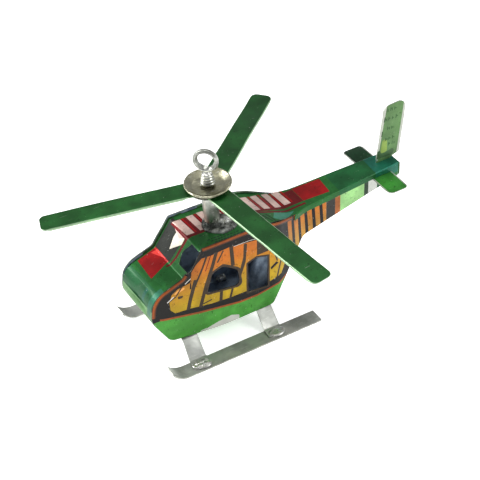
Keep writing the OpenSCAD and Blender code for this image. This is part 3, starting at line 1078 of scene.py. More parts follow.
# ---- side panels -----------------------------------------------------------------------------
@dataclass
class CabinSide:
    """One side panel with its windows, print and hemmed rim."""

    side: Side
    door: tuple[Corner, ...] = (
        (7.4, 20.9, 1.0), (5.4, 27.6, 1.4), (1.6, 28.9, 2.6), (-3.4, 25.4, 2.6), (-4.2, 19.2, 1.6))
    rear: tuple[Corner, ...] = (
        (-6.9, 14.9, 0.3), (-7.0, 26.0, 0.3), (-10.0, 27.0, 2.0), (-14.1, 25.8, 0.4), (-13.9, 14.1, 0.3))
    corner_cut: tuple[Corner, ...] = (
        (15.9, 30.9, 0.2), (12.4, 31.5, 1.0), (8.5, 37.9, 0.2), (9.0, 40.0, 0.0), (17.5, 40.0, 0.0))
    hem_low_z: float = 19.6
    hem_end_x: float = -24.5
    hem_width: float = 0.62

    @property
    def name(self) -> str:
        """Name of the panel."""
        return self.side.name.lower() + "_side"

    def lift(self) -> Lift:
        """Gives the function that bends the flat panel to the body's plan line."""
        dents = Dents(11 if self.side is Side.PORT else 12, 0.14)
        sign = self.side.value

        def place(u: np.ndarray, v: np.ndarray) -> np.ndarray:
            y = LINES.half_width(u)
            flat = np.stack((u, y, v), 1)
            crown = 0.12 * np.cos((u - 2) / 16) * np.cos((v - 21) / 14) * (u > -20)
            return np.stack((u, sign * (y + 0.6 * dents.at(flat) + crown * 0.6), v), 1)

        return place

    def print_shapes(self) -> list[Shape]:
        """Gives the print: slanted bars and blocks over a dark field, a line and a bright band below."""
        line = [(23.6, 17.4), (22.6, 17.0), (10.3, 14.2), (-3.7, 11.9), (-10.1, 11.7), (-18.4, 12.6),
            (-20.5, 13.4)]
        above = [(x, z + 0.75) for x, z in line]
        field_edge = (
            (20.1, 23.2), (19.2, 25.6), (17.1, 26.9), (14.4, 27.2), (12.8, 27.5), (12.2, 31.2), (10.7, 33.2),
            (8.6, 34.9), (5.5, 34.6), (-1.0, 35.0), (-3.0, 34.6), (-10.6, 33.6), (-14.6, 30.0), (-17.8, 25.8),
            (-21.4, 20.0), (-19.2, 16.2), (-14.0, 15.4), (-0.6, 15.6), (6.0, 16.2), (12.9, 17.5),
            (18.4, 18.1), (19.9, 20.0))
        shapes = [
            Shape(((30.0, 0.0), (30.0, 17.6), *line, (-24.0, 14.0), (-24.0, 0.0)), BRIGHT_LEAF),
            Shape(tuple([*line, (-30.0, 16.0), (-30.0, 17.4), *reversed(above)]), RUST),
            Shape(field_edge, HONEY, AMBER, (19.0, 31.0)),
            Shape(((-6.2, 14.3), (-6.4, 26.5), (-10.0, 27.6), (-14.7, 26.3), (-14.6, 13.5)), UMBER),
            Shape(soft([(-4.0, 21.2), (-6.2, 27.1), (-7.0, 33.6), (-5.8, 34.4), (-5.4, 29.1),
                (-3.5, 23.0)]), UMBER),
            Shape(((-10.4, 33.8), (-14.6, 30.0), (-14.2, 27.8), (-10.2, 27.8)), UMBER),
            Shape(((-14.9, 20.8), (-17.1, 22.2), (-18.2, 21.3), (-15.3, 19.9)), COAL),
            Shape(((12.9, 27.3), (12.5, 27.2), (12.6, 25.0), (13.1, 25.0)), COAL),
            Shape(soft([(17.3, 24.1), (15.3, 23.7), (15.7, 22.9), (17.1, 22.9)], 0.3), UMBER),
            Shape(soft([(19.0, 25.2), (17.2, 26.4), (14.8, 26.7), (14.9, 25.9), (17.0, 25.3)], 0.3),
                ink(240, 170, 90)),
        ]
        strokes: list[tuple[list[Point], float, Colour]] = [
            ([(14.0, 17.4), (13.0, 21.4), (11.0, 27.8)], 1.3, UMBER),
            ([(9.9, 16.4), (7.6, 24.1), (5.1, 30.6), (3.6, 35.0)], 1.25, UMBER),
            ([(6.9, 35.0), (8.6, 31.0), (11.6, 25.0)], 0.7, UMBER),
            ([(7.6, 29.6), (5.6, 34.6)], 0.3, OXBLOOD),
            ([(-1.5, 35.0), (-1.8, 27.5)], 1.3, UMBER),
            ([(3.4, 31.0), (1.2, 34.6)], 0.6, UMBER),
            ([(-16.0, 28.0), (-17.6, 22.2)], 0.5, UMBER),
            ([(-19.2, 21.8), (-17.4, 15.8)], 0.7, UMBER),
            ([(2.5, 19.4), (2.8, 15.6)], 1.1, UMBER),
            ([(-1.4, 18.8), (-0.4, 15.2)], 0.8, UMBER),
            ([(5.8, 17.8), (8.9, 17.4)], 0.5, UMBER),
            ([(15.6, 27.2), (17.9, 24.3), (20.2, 23.4)], 0.5, UMBER),
            ([(20.8, 23.3), (18.6, 24.6)], 0.35, ink(226, 222, 214, 0.3)),
            ([(14.6, 27.7), (12.6, 29.0)], 0.3, ink(216, 214, 206, 0.3)),
            ([(-2.4, 34.6), (-7.6, 34.5), (-10.2, 34.1)], 0.18, ink(190, 184, 172, 0.3)),
        ]
        shapes += [Shape(ribbon(points, width), colour) for points, width, colour in strokes]
        if self.side is Side.PORT:
            frame = soft([(8.5, 20.3), (6.2, 28.2), (1.5, 29.8), (-4.1, 26.0), (-5.1, 18.3)], 1.6)
            shapes.append(Shape(frame, UMBER))
        pale = soft([(9.2, 5.0), (8.4, 7.0), (3.9, 7.9), (-0.7, 8.4), (-3.4, 7.3), (-3.4, 5.0)], 0.5)
        shapes += [
            Shape(pale, ink(236, 236, 226, 0.75)),
            Shape(soft([(11.0, 5.0), (10.2, 7.2), (8.0, 7.3), (8.0, 5.0)], 0.3), ink(170, 190, 160, 0.5)),
        ]
        return shapes + self.boom_shapes()

    @staticmethod
    def boom_shapes() -> list[Shape]:
        """Gives the stripes and blocks printed along the boom."""
        shapes = []
        for i in range(6):
            x = -21.9 - 2.9 * i
            bar = [(x, 40.0), (x - 1.7, 40.0), (x - 3.6, 12.0), (x - 1.9, 12.0)]
            shapes.append(Shape(tuple(bar), ink(190, 150, 60), AMBER, (22.0, 33.0)))
        blocks = [
            (-38.4, -41.8, ink(52, 50, 46)), (-41.8, -43.75, ink(160, 92, 44)), (-43.75, -53.0, PALE_LEAF),
            (-53.0, -54.6, ink(40, 62, 44)), (-54.6, -58.0, ink(184, 190, 180, 0.7)),
            (-58.0, -68.0, DEEP_LEAF)]
        for x0, x1, colour in blocks:
            shapes.append(Shape(((x0, 40.0), (x1, 40.0), (x1, 18.0), (x0, 18.0)), colour))
        return shapes

    def panel(self, finishes: Finishes) -> bpy.types.Object:
        """Builds the panel.

        Args:
            finishes: The finishes.

        Returns:
            The piece.
        """
        holes = [rounded(self.rear)]
        if self.side is Side.PORT:
            holes += [rounded(self.door), rounded(self.corner_cut)]
        sheet = Sheet(self.name + "_panel", LINES.side_outline(), COAL, holes, self.print_shapes(), step=1.1)
        # The cut edges of the panel use the painted-shade edge finish.
        return sheet.build(
            self.lift(), [finishes.printed, finishes.inside, finishes.shaded_cut_edge], flip=self.side is Side.PORT)

    def hem_runs(self) -> list[np.ndarray]:
        """Gives the hemmed stretches of the rim, as points of the panel's edge and inward normals."""
        path = Path(rounded([*LINES.side_line(), LINES.tail_top], closed=False))
        marks = np.unique(np.concatenate((path.marks, np.arange(0, path.length, 0.9))))
        spots, normals = path.at(marks), path.left(marks)
        start = int(np.argmax((spots[:, 1] > self.hem_low_z) & (spots[:, 0] > 20)))
        end = int(np.argmax(spots[:, 0] < self.hem_end_x))
        rows = np.hstack((spots, normals))[start:end]
        if self.side is Side.STARBOARD:
            return [rows]
        cut = np.array([inside(rounded(self.corner_cut), rows[:, 0], rows[:, 1] - 0.5)]).ravel()
        first, last = int(np.argmax(cut)), len(cut) - int(np.argmax(cut[::-1]))
        return [rows[:first], rows[last:]]

    def hems(self, finishes: Finishes) -> list[bpy.types.Object]:
        """Builds the folded rim.

        Args:
            finishes: The finishes.

        Returns:
            One piece per stretch.
        """
        sign = self.side.value
        half = self.hem_width / 2
        loop = rounded([
            (-half, 0.02, half), (half, 0.02, half), (half, LINES.hem, 0.12), (0.02, LINES.hem, 0.02),
            (-0.05, LINES.hem - 0.1, 0.02), (-half, LINES.hem - 0.1, 0.02)], turn=22.0)
        across = np.array(loop)
        dents = Dents(21, 0.1, 9.0)
        made = []
        for k, rows in enumerate(self.hem_runs()):
            rings = []
            for x, z, nx, nz in rows:
                wave = float(dents.at(np.array([[x, 0.0, z]]))[0])
                deep = across[:, 1] + 0.02
                side_y = float(LINES.half_width(np.array([x]))[0])
                rings.append(np.stack((
                    x + nx * deep, sign * (side_y + across[:, 0] + 0.6 * wave), z + nz * deep), 1))
            if self.side is Side.PORT:
                tones = [RUST if y > -0.1 and d < 0.8 else COAL if y > -0.1 else RIM_LEAF for y, d in loop]
            else:
                tones = [RIM_LEAF for _ in loop]
            paint = np.tile(np.array(tones), (len(rings), 1)).reshape(-1, 4)
            made.append(
                loft(f"{self.name}_hem_{k + 1}", np.array(rings), finishes.printed, colour=paint, sharp=60))
        return made


# ---- strips over the top and under the belly ---------------------------------------------------
@dataclass
class TopStrip:
    """The strip over nose, hood, windscreen, roof and boom, with its folded flanges."""

    flange: float = 1.4
    ear: float = 4.4
    fold_radius: float = 0.42
    gap: float = 0.04

    def __post_init__(self) -> None:
        """Reads the marks of the bends along the strip."""
        self.path = LINES.top_path()
        self.hood = self.path.mark_near((15.0, 29.3))
        self.brow = self.path.mark_near((9.0, 37.8))
        self.cover = self.path.mark_near((LINES.cover_x, 34.7))
        self.ears = self.path.mark_near((LINES.ear_x, 36.3))
        self.tail = self.path.mark_near((LINES.tail_x + 0.7, 36.5))
        self.marks = self.path.marks

    def mark(self, x: float, z: float | None = None) -> float:
        """Gives the mark of a place on hood, roof or boom.

        Args:
            x: Its place along the body.
            z: Its height, needed on the nose and windscreen.

        Returns:
            The mark.
        """
        if z is not None:
            return self.path.mark_near((x, z))
        tries = np.linspace(self.path.mark_near((22.0, 27.0)), self.tail, 6000)
        return float(tries[np.argmin(abs(self.path.at(tries)[:, 0] - x))])

    def half(self, marks: np.ndarray) -> np.ndarray:
        """Gives half the width between the fold lines.

        Args:
            marks: Places along the strip.

        Returns:
            One half width per place.
        """
        outer = LINES.half_width(self.path.at(marks)[:, 0])
        return np.where(marks < self.cover, outer - LINES.tin - self.gap, outer + LINES.tin)

    def lift(self) -> Lift:
        """Gives the function that bends the flat strip."""
        dents = Dents(31, 0.22, 13.0)
        radius = self.fold_radius

        def place(u: np.ndarray, v: np.ndarray) -> np.ndarray:
            spot, inward = self.path.at(u), self.path.left(u)
            over = np.where(u > self.cover, abs(v) - (self.half(u) - radius), -1.0)
            angle = np.clip(over / radius, 0, math.pi / 2)
            drop = radius * (1 - np.cos(angle)) + np.clip(over - radius * math.pi / 2, 0, None)
            y = np.sign(v) * np.where(over > 0, self.half(u) - radius + radius * np.sin(angle), abs(v))
            calm = np.where(u > self.cover, 0.35, 1.0) * np.clip((self.half(u) - abs(v)) / 2.5, 0.15, 1)
            flat = np.stack((spot[:, 0], v, spot[:, 1]), 1)
            drop = drop - dents.at(flat) * calm
            return np.stack((spot[:, 0] + inward[:, 0] * drop, y, spot[:, 1] + inward[:, 1] * drop), 1)

        return place

    def outline(self) -> list[Point]:
        """Gives the flat outline, flanges and ears included."""
        turn = self.fold_radius * (math.pi / 2 - 1)
        rows: list[Point] = []
        for mark in np.linspace(0, self.cover - 0.02, 50):
            rows.append((float(mark), float(self.half(np.array([mark]))[0])))
        rows.append((self.cover, rows[-1][1]))
        for mark in np.linspace(self.cover + 0.05, self.tail - 0.4, 40):
            flange = self.flange if mark < self.ears - 0.3 else self.ear
            rows.append((float(mark), float(self.half(np.array([mark]))[0]) + turn + flange))
        last = float(self.half(np.array([self.tail]))[0])
        rows += [(self.tail - 0.3, last), (self.path.length - 0.3, last), (self.path.length, last - 0.3)]
        return [*rows, *[(u, -v) for u, v in reversed(rows)]]

    def opening(self) -> list[Point]:
        """Gives the opening in the port half of the windscreen."""
        screen = np.linspace(self.hood - 1.5, self.brow + 1.5, 400)
        heights = self.path.at(screen)[:, 1]
        order = np.argsort(heights)
        corners = [(12.0, 31.2, 0.0), (4.3, 31.2, 0.5), (2.7, 34.0, 3.0), (4.6, 37.3, 0.4), (12.0, 37.3, 0.0)]
        return [(float(np.interp(z, heights[order], screen[order])), y) for y, z in rounded(corners)]

    def fold_lines(self) -> list[tuple[Point, Point]]:
        """Gives the lines along which the strip bends."""
        lines = [((float(m), -16.0), (float(m), 16.0)) for m in self.marks[1:-1]]
        marks = np.linspace(self.cover + 0.06, self.tail, 24)
        for share in (0.0, 0.33, 0.66, 1.0):
            edge = self.half(marks) - self.fold_radius + self.fold_radius * math.pi / 2 * share
            for i in range(len(marks) - 1):
                a, b = (float(marks[i]), float(edge[i])), (float(marks[i + 1]), float(edge[i + 1]))
                lines += [(a, b), ((a[0], -a[1]), (b[0], -b[1]))]
        return lines

    def block(self, corners: Sequence[Point], colour: Colour) -> Shape:
        """Makes a printed shape from places on hood, roof or boom.

        Args:
            corners: Place along the body and y of each corner.
            colour: Its ink.

        Returns:
            The shape.
        """
        return Shape(tuple((self.mark(x), y) for x, y in corners), colour)

    def screen(self, corners: Sequence[Point], colour: Colour) -> Shape:
        """Makes a printed shape on the windscreen.

        Args:
            corners: Share of the way up the windscreen and y of each corner.
            colour: Its ink.

        Returns:
            The shape.
        """
        run = self.brow - self.hood
        return Shape(tuple((self.hood + run * share, y) for share, y in corners), colour)

    def print_shapes(self) -> list[Shape]:
        """Gives the print of the strip, with painted shadow lines along the starboard rim and a painted
        highlight on the hood's red block.
        """
        low = self.mark(25.3, 21.0)
        bend = self.mark(24.4, 26.3)
        nose = [
            Shape(((-1.0, -12.0), (low, -12.0), (low + 0.6, 12.0), (-1.0, 12.0)), ink(98, 142, 88)),
            Shape(((low, -12.0), (bend + 0.8, -12.0), (bend + 1.6, 12.0), (low + 0.6, 12.0)),
                ink(26, 84, 46)),
            Shape(((low + 1.0, 2.2), (bend, 2.6), (bend, 4.0), (low + 0.8, 3.8)), ink(24, 84, 66)),
            Shape(((low - 2.0, 6.4), (bend + 3.0, 6.8), (bend + 3.0, 8.8), (low - 2.0, 8.6)),
                ink(44, 104, 80)),
            Shape(((low + 0.4, -2.8), (bend, -3.0), (bend, -1.6), (low + 0.4, -1.4)), DEEP_LEAF),
        ]
        hood = [
            # Painted shadow: a black line along the starboard rim on hood and windscreen, where the raised
            # rim shades the strip.
            self.block([(22.0, -9.4), (9.0, -9.4), (9.0, -9.1), (22.0, -9.1)], COAL),
            self.block([(20.9, -8.5), (15.0, -8.5), (15.0, -0.4), (21.4, 1.3)], SCARLET),
            Shape(((self.mark(15.2), -8.5), (self.hood + 0.9, -8.5), (self.hood + 0.8, -0.2),
                   (self.mark(15.2), -0.4)), SCARLET),
            # Painted highlight: the lighter red triangle beside the hood bend stands in for the light that
            # facet catches.
            Shape(((self.mark(16.6), -7.9), (self.hood + 0.6, -7.4), (self.hood + 0.6, -1.6)), SCARLET_PAINTED_HIGHLIGHT),
            self.block([(21.2, 2.0), (19.6, 2.4), (18.8, 6.2), (20.2, 7.4)], ink(40, 108, 50)),
        ]
        screen = [
            self.screen([(0.06, -8.6), (1.1, -8.6), (1.1, 1.2), (0.06, 0.2)], ink(44, 46, 42)),
            self.screen(
                [(0.34, -2.5), (0.7, -3.6), (1.04, -3.2), (1.04, -0.5), (0.98, 1.0), (0.72, 1.2)], CREAM),
            self.screen([(0.97, -6.9), (1.08, -6.9), (1.08, 1.2), (0.95, 1.0), (0.8, -1.0)], BLUSH),
            self.screen([(-0.1, 0.4), (0.3, 1.4), (0.7, 1.3), (1.1, 1.2), (1.1, 2.2), (0.7, 2.3),
                         (0.3, 2.3), (-0.1, 1.2)], OXBLOOD),
        ]
        field_y = 2.0
        roof = [
            self.block([(9.4, -7.4), (-31.5, -4.4), (-31.5, 2.4), (-14.0, 1.6), (9.4, field_y - 0.7)],
                       OXBLOOD),
            # Painted shadow: a black line along the starboard rim on the roof, where the raised rim shades
            # the strip.
            self.block([(9.6, -9.4), (-25.0, -8.9), (-25.0, -8.6), (9.6, -9.1)], COAL),
            self.block(
                [(9.4, field_y - 0.8), (-14.0, 1.5), (-24.0, 3.0), (-31.5, 3.2), (-31.5, 4.0), (-24.0, 3.9),
                 (-14.0, 2.4), (9.4, field_y)], OXBLOOD),
        ]
        starts = [9.0, 4.4, 0.9, -3.1, -7.0, -10.6, -14.4, -17.9, -21.8, -25.2]
        for x in starts:
            wide = 2.6 if x > 5 else 2.2
            roof.append(self.block(
                [(x, -7.1 - x * 0.012), (x - wide, -7.0), (x - wide - 0.5, 0.9), (x - 0.5, 0.8)], BLUSH))
            roof.append(self.block([(x - wide - 0.35, -7.0), (x - wide - 1.0, -7.0), (x - wide - 1.4, 0.8),
                                    (x - wide - 0.8, 0.8)], SCARLET))
        boom = [
            self.block([(-31.6, -4.7), (-41.4, -4.0), (-40.6, 3.2), (-31.6, 2.4)], SCARLET),
            self.block([(-44.0, -7.0), (-58.0, -7.0), (-57.0, 7.0), (-43.0, 7.0)], ink(26, 92, 48)),
            self.block([(-58.0, -7.0), (-67.4, -7.0), (-67.4, 7.0), (-57.0, 7.0)], TEAL),
            self.block([(-18.2, 6.4), (-20.3, 3.4), (-26.6, 4.8), (-21.0, 8.4)], ink(66, 138, 112)),
            self.block([(-15.7, 4.0), (-16.1, 4.0), (-17.3, 7.7), (-16.9, 7.7)], COAL),
            self.block([(-17.0, 3.8), (-17.4, 3.8), (-18.4, 7.9), (-18.0, 7.9)], COAL),
            self.block([(-18.6, 9.4), (-18.2, 8.2), (-20.6, 8.2), (-21.6, 9.4)], ink(230, 226, 206, 0.9)),
        ]
        return nose + hood + screen + roof + boom + self.small_print()

    def small_print(self) -> list[Shape]:
        """Gives rows of unreadable small marks on the roof's green border."""
        chance = np.random.default_rng(41)
        marks = []
        for row in range(3):
            x = 4.6 - row * 0.8
            while x > -2.5 - row * 2.4:
                wide = float(chance.uniform(0.35, 0.9))
                y = 6.0 + row * 0.95
                marks.append(self.block(
                    [(x, y), (x - wide, y), (x - wide, y + 0.42), (x, y + 0.42)], ink(16, 50, 36)))
                x -= wide + float(chance.uniform(0.25, 0.5))
        return marks

    def strip(self, finishes: Finishes) -> bpy.types.Object:
        """Builds the strip.

        Args:
            finishes: The finishes.

        Returns:
            The piece.
        """
        sheet = Sheet("top_strip_printed", self.outline(), LEAF, [self.opening()], self.print_shapes(),
                      self.fold_lines(), step=1.2)
        return sheet.build(self.lift(), [finishes.printed, finishes.inside, finishes.green_edge], flip=True)


@dataclass
class BellyStrip:
    """The strip under the boom, up the back of the cabin and along the belly."""

    gap: float = 0.04

    def strip(self, finishes: Finishes) -> bpy.types.Object:
        """Builds the strip.

        Args:
            finishes: The finishes.

        Returns:
            The piece.
        """
        path = LINES.belly_path()
        dents = Dents(51, 0.16)

        def place(u: np.ndarray, v: np.ndarray) -> np.ndarray:
            spot, inward = path.at(u), path.left(u)
            shift = dents.at(np.stack((spot[:, 0], v, spot[:, 1]), 1))
            return np.stack((spot[:, 0] + inward[:, 0] * shift, v, spot[:, 1] + inward[:, 1] * shift), 1)

        marks = np.linspace(0, path.length, 60)
        half = LINES.half_width(path.at(marks)[:, 0]) - LINES.tin - self.gap
        rows = list(zip(marks.tolist(), half.tolist()))
        outline = [*rows, *[(u, -v) for u, v in reversed(rows)]]
        folds = [((float(m), -12.0), (float(m), 12.0)) for m in path.marks[1:-1]]
        end = path.length
        shapes = [
            Shape(((end - 34.0, -12.0), (end - 30.0, -12.0), (end - 28.0, 12.0), (end - 32.0, 12.0)), RUST),
            Shape(((end - 30.0, -12.0), (end + 1.0, -12.0), (end + 1.0, 12.0), (end - 28.0, 12.0)),
                BRIGHT_LEAF),
            Shape(((-1.0, -12.0), (26.0, -12.0), (28.0, 12.0), (-1.0, 12.0)), DEEP_LEAF),
        ]
        # Painted shade: the strip's base is black, standing in for the shade on the rear wall and under the
        # belly.
        sheet = Sheet("belly_strip_printed", outline, COAL, [], shapes, folds, step=1.6)
        return sheet.build(place, [finishes.printed, finishes.inside, finishes.cut], flip=True)


# ---- tail ------------------------------------------------------------------------------------
@dataclass
class Tail:
    """Fin and stabilizer."""

    span: float = 26.4
    height: float = 34.1
    middle_x: float = -59.8
    chord: float = 3.6

    def fin(self, finishes: Finishes) -> bpy.types.Object:
        """Builds the fin, with rows of unreadable small marks.

        Args:
            finishes: The finishes.

        Returns:
            The piece.
        """
        outline = rounded([
            (-65.8, 33.0, 0.2), (-60.2, 33.0, 0.2), (-60.2, 37.6, 0.1), (-62.5, 56.6, 2.6),
            (-70.8, 57.2, 2.6), (-68.7, 38.0, 0.3), (-65.8, 37.0, 0.1)], turn=10.0)
        green = ink(92, 128, 78)
        edge = ink(150, 160, 138, 0.6)
        chance = np.random.default_rng(61)
        shapes = [
            Shape(ribbon([(-68.2, 37.0), (-70.6, 57.5)], 1.1), edge),
            Shape(ribbon([(-60.2, 37.0), (-63.1, 57.5)], 1.1), edge),
            Shape(soft([(-60.0, 37.6), (-66.5, 37.6), (-66.8, 40.2), (-63.5, 39.3), (-60.4, 41.0)], 0.8),
                ink(66, 96, 60)),
            Shape(soft([(-61.6, 39.2), (-64.2, 39.4), (-64.0, 44.0), (-62.4, 44.4)], 0.8), ink(132, 158, 76)),
        ]
        for row, z in enumerate((54.3, 51.0, 47.4, 43.6, 41.4)):
            x = -63.6 - 0.25 * row + (0.9 if row in (1, 3) else 0.0)
            stop = x - (4.2 if row in (1, 0) else 2.6)
            while x > stop:
                wide = float(chance.uniform(0.55, 0.8))
                tall = float(chance.uniform(1.0, 1.5))
                kind = int(chance.integers(0, 3))
                mark = ink(44, 84, 40)
                lean = 0.12
                shapes.append(Shape(ribbon([(x, z), (x - lean, z + tall)], 0.3), mark))
                if kind != 1:
                    shapes.append(
                        Shape(ribbon([(x, z + tall * 0.5), (x - wide, z + tall * 0.45)], 0.28), mark))
                if kind != 0:
                    shapes.append(Shape(ribbon([(x - wide, z), (x - wide, z + tall * 0.75)], 0.28), mark))
                x -= wide + float(chance.uniform(0.5, 0.8))
        for z in (38.6, 45.6, 50.8):
            shapes.append(Shape(ribbon(
                [(-60.9 - (z - 38) * 0.14, z), (-61.2 - (z - 38) * 0.14, z + 1.8)], 0.4), ink(50, 80, 44)))
        dents = Dents(62, 0.12)

        def place(u: np.ndarray, v: np.ndarray) -> np.ndarray:
            return np.stack((u, 0.15 + dents.at(np.stack((u, 0 * u, v), 1)), v), 1)

        sheet = Sheet("tail_fin_printed", outline, green, [], shapes, step=1.1, back=ink(128, 172, 104))
        return sheet.build(place, [finishes.printed, finishes.printed, finishes.cut], flip=True)

    def stabilizer(self, finishes: Finishes) -> bpy.types.Object:
        """Builds the stabilizer.

        Args:
            finishes: The finishes.

        Returns:
            The piece.
        """
        half, x, c = self.span / 2, self.middle_x, self.chord
        outline = rounded([
            (x - c, -half, 1.4), (x + c, -half, 1.4), (x + c, half, 2.0), (x - c, half, 1.4)], turn=10.0)
        shapes = [
            # Painted shade: the starboard half is a darker green than the port half, standing in for the
            # light that the tilted port half catches.
            Shape(((x - 5, -20.0), (x + 5, -20.0), (x + 5, -3.0), (x - 5, -3.0)), ink(22, 62, 34)),
            Shape(ribbon([(x - c + 0.15, -half), (x - c + 0.15, half)], 0.5), ink(170, 180, 160, 0.8)),
            Shape(ribbon([(x + c - 0.15, -half), (x + c - 0.15, half)], 0.4), ink(180, 190, 170, 0.8)),
        ]
        dents = Dents(63, 0.16)

        def place(u: np.ndarray, v: np.ndarray) -> np.ndarray:
            bow = 0.3 * (v / half) ** 2
            return np.stack((u, v, self.height + 0.3 - bow + dents.at(np.stack((u, v, 0 * u), 1))), 1)

        sheet = Sheet("stabilizer_printed", outline, ink(56, 132, 48), [], shapes, step=1.2)
        return sheet.build(place, [finishes.printed, finishes.inside, finishes.cut])


# ---- mast, spindle and hub -------------------------------------------------------------------
@dataclass(frozen=True)
class MastLines:
    """The leaning axis that mast, spindle and rotor share."""

    roof_in_z: float = 37.7
    rotor_z: float = 51.6
    lean: float = 2.8
    eye_turn: float = 48.0

    @property
    def height(self) -> float:
        """Height of the rotor's underside above the roof, along the axis."""
        return (self.rotor_z - self.roof_in_z) / math.cos(math.radians(self.lean))

    def foot(self) -> Matrix:
        """Gives the frame at the foot of the mast."""
        x = -(self.rotor_z - self.roof_in_z) * math.tan(math.radians(self.lean))
        return Matrix.Translation((x, 0, self.roof_in_z)) @ Matrix.Rotation(math.radians(self.lean), 4, "Y")

    def rotor(self) -> Matrix:
        """Gives the frame of the rotor, at the undersides of the blades."""
        return self.foot() @ Matrix.Translation((0, 0, self.height))


MAST = MastLines()


def placed(points: np.ndarray, frame: Matrix) -> np.ndarray:
    """Moves points into a frame.

    Args:
        points: Points, in any shape that ends in three coordinates.
        frame: The frame.

    Returns:
        The moved points.
    """
    matrix = np.array(frame)
    return points @ matrix[:3, :3].T + matrix[:3, 3]


def lump(
    name: str, frame: Matrix, radius: tuple[float, float], height: float, material: bpy.types.Material,
    seed: int, rough: float = 0.25,
) -> bpy.types.Object:
    """Builds an uneven low heap of solder.

    Args:
        name: Name of the piece.
        frame: Where its foot stands, in millimetres.
        radius: Half its length and half its width.
        height: Its height.
        material: Its material.
        seed: Seed of its shape.
        rough: Share of unevenness.

    Returns:
        The piece.
    """
    sides = 56
    angles = np.linspace(0, 2 * math.pi, sides, endpoint=False)
    chance = np.random.default_rng(seed)
    edge = 1 + rough * sum(
        float(chance.normal()) * 0.4 / k * np.cos(k * angles + float(chance.uniform(0, 6.28)))
        for k in range(1, 7))
    dents = Dents(seed + 100, rough * height, max(radius) * 0.9)
    rings = []
    for share in np.concatenate(([1.0], np.linspace(1.0, 0.03, 22))):
        base = not rings
        z = 0.0 if base else height * math.sqrt(max(0.0, 1 - share**2.2))
        ring = np.stack((
            radius[0] * share * np.cos(angles) * (1 + (edge - 1) * share),
            radius[1] * share * np.sin(angles) * (1 + (edge - 1) * share), np.full(sides, z)), 1)
        if not base:
            ring[:, 2] += dents.at(ring) * min(1.0, 3 * (1 - share))
        ring[:, 2] -= 0.12 if base else 0.0
        rings.append(ring)
    return loft(name, placed(np.array(rings), frame), material)


@dataclass
class Mast:
    """The rolled tube with its solder."""

    foot_r: float = 2.2
    top_r: float = 2.5
    tin: float = 0.3
    clear: float = 0.6

    def tube(self, finishes: Finishes) -> bpy.types.Object:
        """Builds the tube as tin rolled past its own edge.

        Args:
            finishes: The finishes.

        Returns:
            The piece.
        """
        angles = np.radians(np.linspace(0, 384, 112))
        start = math.radians(150)
        step = np.clip((angles - math.radians(340)) / math.radians(24), 0, 1)
        step = step * step * (3 - 2 * step) * 0.2
        dents = Dents(71, 0.1, 6.0)
        rings = []
        top = MAST.height - self.clear
        heights = np.concatenate(([0.05], np.linspace(0.5, top - 0.25, 26), [top]))
        for z in heights:
            radius = self.foot_r + (self.top_r - self.foot_r) * z / top + (0.08 if z == top else 0)
            out = radius + step
            outer = np.stack(
                (out * np.cos(angles + start), out * np.sin(angles + start), np.full(len(out), z)), 1)
            outer[:, :2] *= (1 + dents.at(outer) / radius)[:, None]
            away = outer[:, :2] / np.linalg.norm(outer[:, :2], axis=1)[:, None]
            inner = outer.copy()
            inner[:, :2] -= away * self.tin * 0.6
            rings.append(np.vstack((outer, inner[::-1])))
        return loft("mast_tube_rolled", placed(np.array(rings), MAST.foot()), finishes.mast, sharp=40)

    def solder(self, finishes: Finishes) -> list[bpy.types.Object]:
        """Builds the sooty apron on the roof, the fillet round the tube and the bead.

        Args:
            finishes: The finishes.

        Returns:
            The pieces.
        """
        apron = lump("mast_solder_apron", Matrix.Translation((-1.9, 1.3, 37.62)), (5.0, 5.0), 1.35,
                     finishes.flux, 72, 0.3)
        fillet = lump("mast_solder_fillet", MAST.foot() @ Matrix.Translation((0, 0, 0.05)), (3.5, 3.3), 1.6,
                      finishes.flux, 73, 0.25)
        bead = lump("solder_bead_round", Matrix.Translation((-4.2, 2.6, 38.55)), (0.95, 0.9), 0.95,
                    finishes.solder, 74, 0.1)
        return [apron, fillet, bead]


